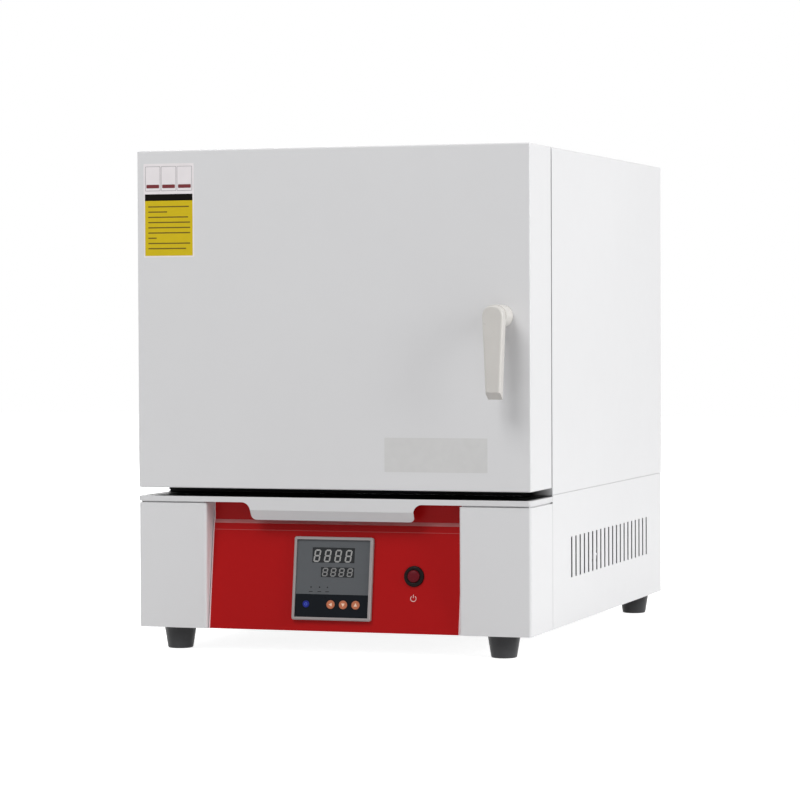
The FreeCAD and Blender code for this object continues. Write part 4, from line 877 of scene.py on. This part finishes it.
# %% Wind the two heating coils
WIRE_HEIGHTS = [339.55 + 28 * run for run in range(4)]
GROOVE_FRONT, GROOVE_REAR, COIL_REAR, TAIL_END = -165.5, 106.5, 116.0, 257.7
ALONG_X = Vector((1, 0, 0))
for side, x in (("left", -96.05), ("right", 110.55)):
    low, second, third, high = WIRE_HEIGHTS
    route = [(COIL_REAR, low), (GROOVE_FRONT, low), (GROOVE_FRONT, second), (GROOVE_REAR, second), (GROOVE_REAR, third),
             (GROOVE_FRONT, third), (GROOVE_FRONT, high), (COIL_REAR, high)]
    corners = [Vector((x, y, z)) for y, z in route]
    coil = wound(softened(corners, 6), ALONG_X, (2.3, 2.3), 0.65, 4.5, 12, 5)
    tails = []
    for z in (low, high):
        tail = turned([(0, 0), (1.5, 0), (1.5, TAIL_END - COIL_REAR), (0, TAIL_END - COIL_REAR)], 16)
        tail.transform(Matrix.Translation((x, COIL_REAR, z)) @ Matrix.Rotation(-math.pi / 2, 4, "X"))
        tails.append(tail)
    settle(side + "_heating_coil", gather([coil] + tails), scaled_wire, "cabinet",
           stands_for=[side + "_heating_wire"])

# %% [markdown]
# ## The door's rope seal
#
# A braided fibre rope is pressed flat round the door's block. Three fat strands wound round the same route, a
# third of a turn apart, give the braid its lay, and being squashed into an oval keeps it as flat as the real one.

# %% Braid the seal
SEAL_MIDDLE_Y = -213.65
seal_corners = rounded(-106.75, 121.25, 307.55, 455.55, 6, 8)
seal_route = [Vector((x, SEAL_MIDDLE_Y, z)) for x, z in seal_corners]
seal_route.append(seal_route[0])
strands = [wound(seal_route, Vector((0, 1, 0)), (0.55, 4.9), 1.28, 22, 16, 8, math.tau * strand / 3, True)
           for strand in range(3)]
settle("braided_seal", gather(strands), rope, "door", stands_for=["door_seal"])

# %% [markdown]
# ## Floor and light
#
# The picture has a plain white ground that runs up into the background. The floor shows white to the camera and
# in reflections, by adding a glow that only those rays see, while the light it gives back to the furnace stays
# plain and its shadow stays. A large soft lamp stands to the right, the furnace's brightest side.

# %% Lay the floor
WHITE = (1, 1, 1)
floor_shape = bmesh.new()
bmesh.ops.create_grid(floor_shape, x_segments=1, y_segments=1, size=8)
floor_mesh = bpy.data.meshes.new("floor")
floor_shape.to_mesh(floor_mesh)
floor_shape.free()
floor = bpy.data.objects.new("floor", floor_mesh)
floor.location.z = -0.0005
scene.collection.objects.link(floor)
ground = Finish("pale_floor", (0.66, 0.66, 0.66), 0.9)
ground.set("Specular IOR Level", 0.0)
rays = ground.node("ShaderNodeLightPath")
looked_at = ground.node("ShaderNodeMath", {"operation": "MAXIMUM"}, {0: rays["Is Camera Ray"], 1: rays["Is Glossy Ray"]})
looked_at = ground.node("ShaderNodeMath", {"operation": "MAXIMUM"},
                        {0: looked_at["Value"], 1: rays["Is Transmission Ray"]})
GLOW = 0.86
glow = ground.node("ShaderNodeEmission", None, {"Color": WHITE, "Strength": looked_at["Value"] * GLOW})
both = ground.node("ShaderNodeAddShader", None, {0: Wire(ground, ground.shader.outputs["BSDF"]), 1: glow["Emission"]})
ground.feed(ground.tree.nodes["Material Output"].inputs["Surface"], both["Shader"])
dress(floor, ground)
print("floor side", 16, "m")

# %% Hang the lamps


def lamp(name, place, aim, size, power):
    """A square soft lamp that looks at a point."""
    data = bpy.data.lights.new(name, "AREA")
    data.shape = "SQUARE"
    data.size = size
    data.energy = power
    made = bpy.data.objects.new(name, data)
    made.location = place
    made.rotation_euler = (Vector(aim) - Vector(place)).to_track_quat("-Z", "Y").to_euler()
    scene.collection.objects.link(made)
    return made


MIDDLE = (0, 0, 0.3)
lamp("right_lamp", (3.4, -0.5, 1.4), MIDDLE, 2.2, 86)
lamp("front_lamp", (-0.9, -2.6, 3.2), MIDDLE, 1.8, 72)
lamp("rear_lamp", (-2.4, 3.0, 2.0), MIDDLE, 2.0, 80)

world = bpy.data.worlds.new("studio")
scene.world = world
world.use_nodes = True
sky = world.node_tree
background = sky.nodes["Background"]
seen = sky.nodes.new("ShaderNodeLightPath")
plain_white = sky.nodes.new("ShaderNodeBackground")
for shader, strength in ((plain_white, 1.0), (background, 0.28)):
    shader.inputs["Color"].default_value = (*WHITE, 1)
    shader.inputs["Strength"].default_value = strength
choose = sky.nodes.new("ShaderNodeMixShader")
looking = seen.outputs["Is Camera Ray"]
for kind in ("Is Glossy Ray", "Is Transmission Ray"):
    most = sky.nodes.new("ShaderNodeMath")
    most.operation = "MAXIMUM"
    sky.links.new(looking, most.inputs[0])
    sky.links.new(seen.outputs[kind], most.inputs[1])
    looking = most.outputs[0]
sky.links.new(looking, choose.inputs[0])
sky.links.new(background.outputs[0], choose.inputs[1])
sky.links.new(plain_white.outputs[0], choose.inputs[2])
sky.links.new(choose.outputs[0], sky.nodes["World Output"].inputs["Surface"])
scene.view_settings.view_transform = "Standard"
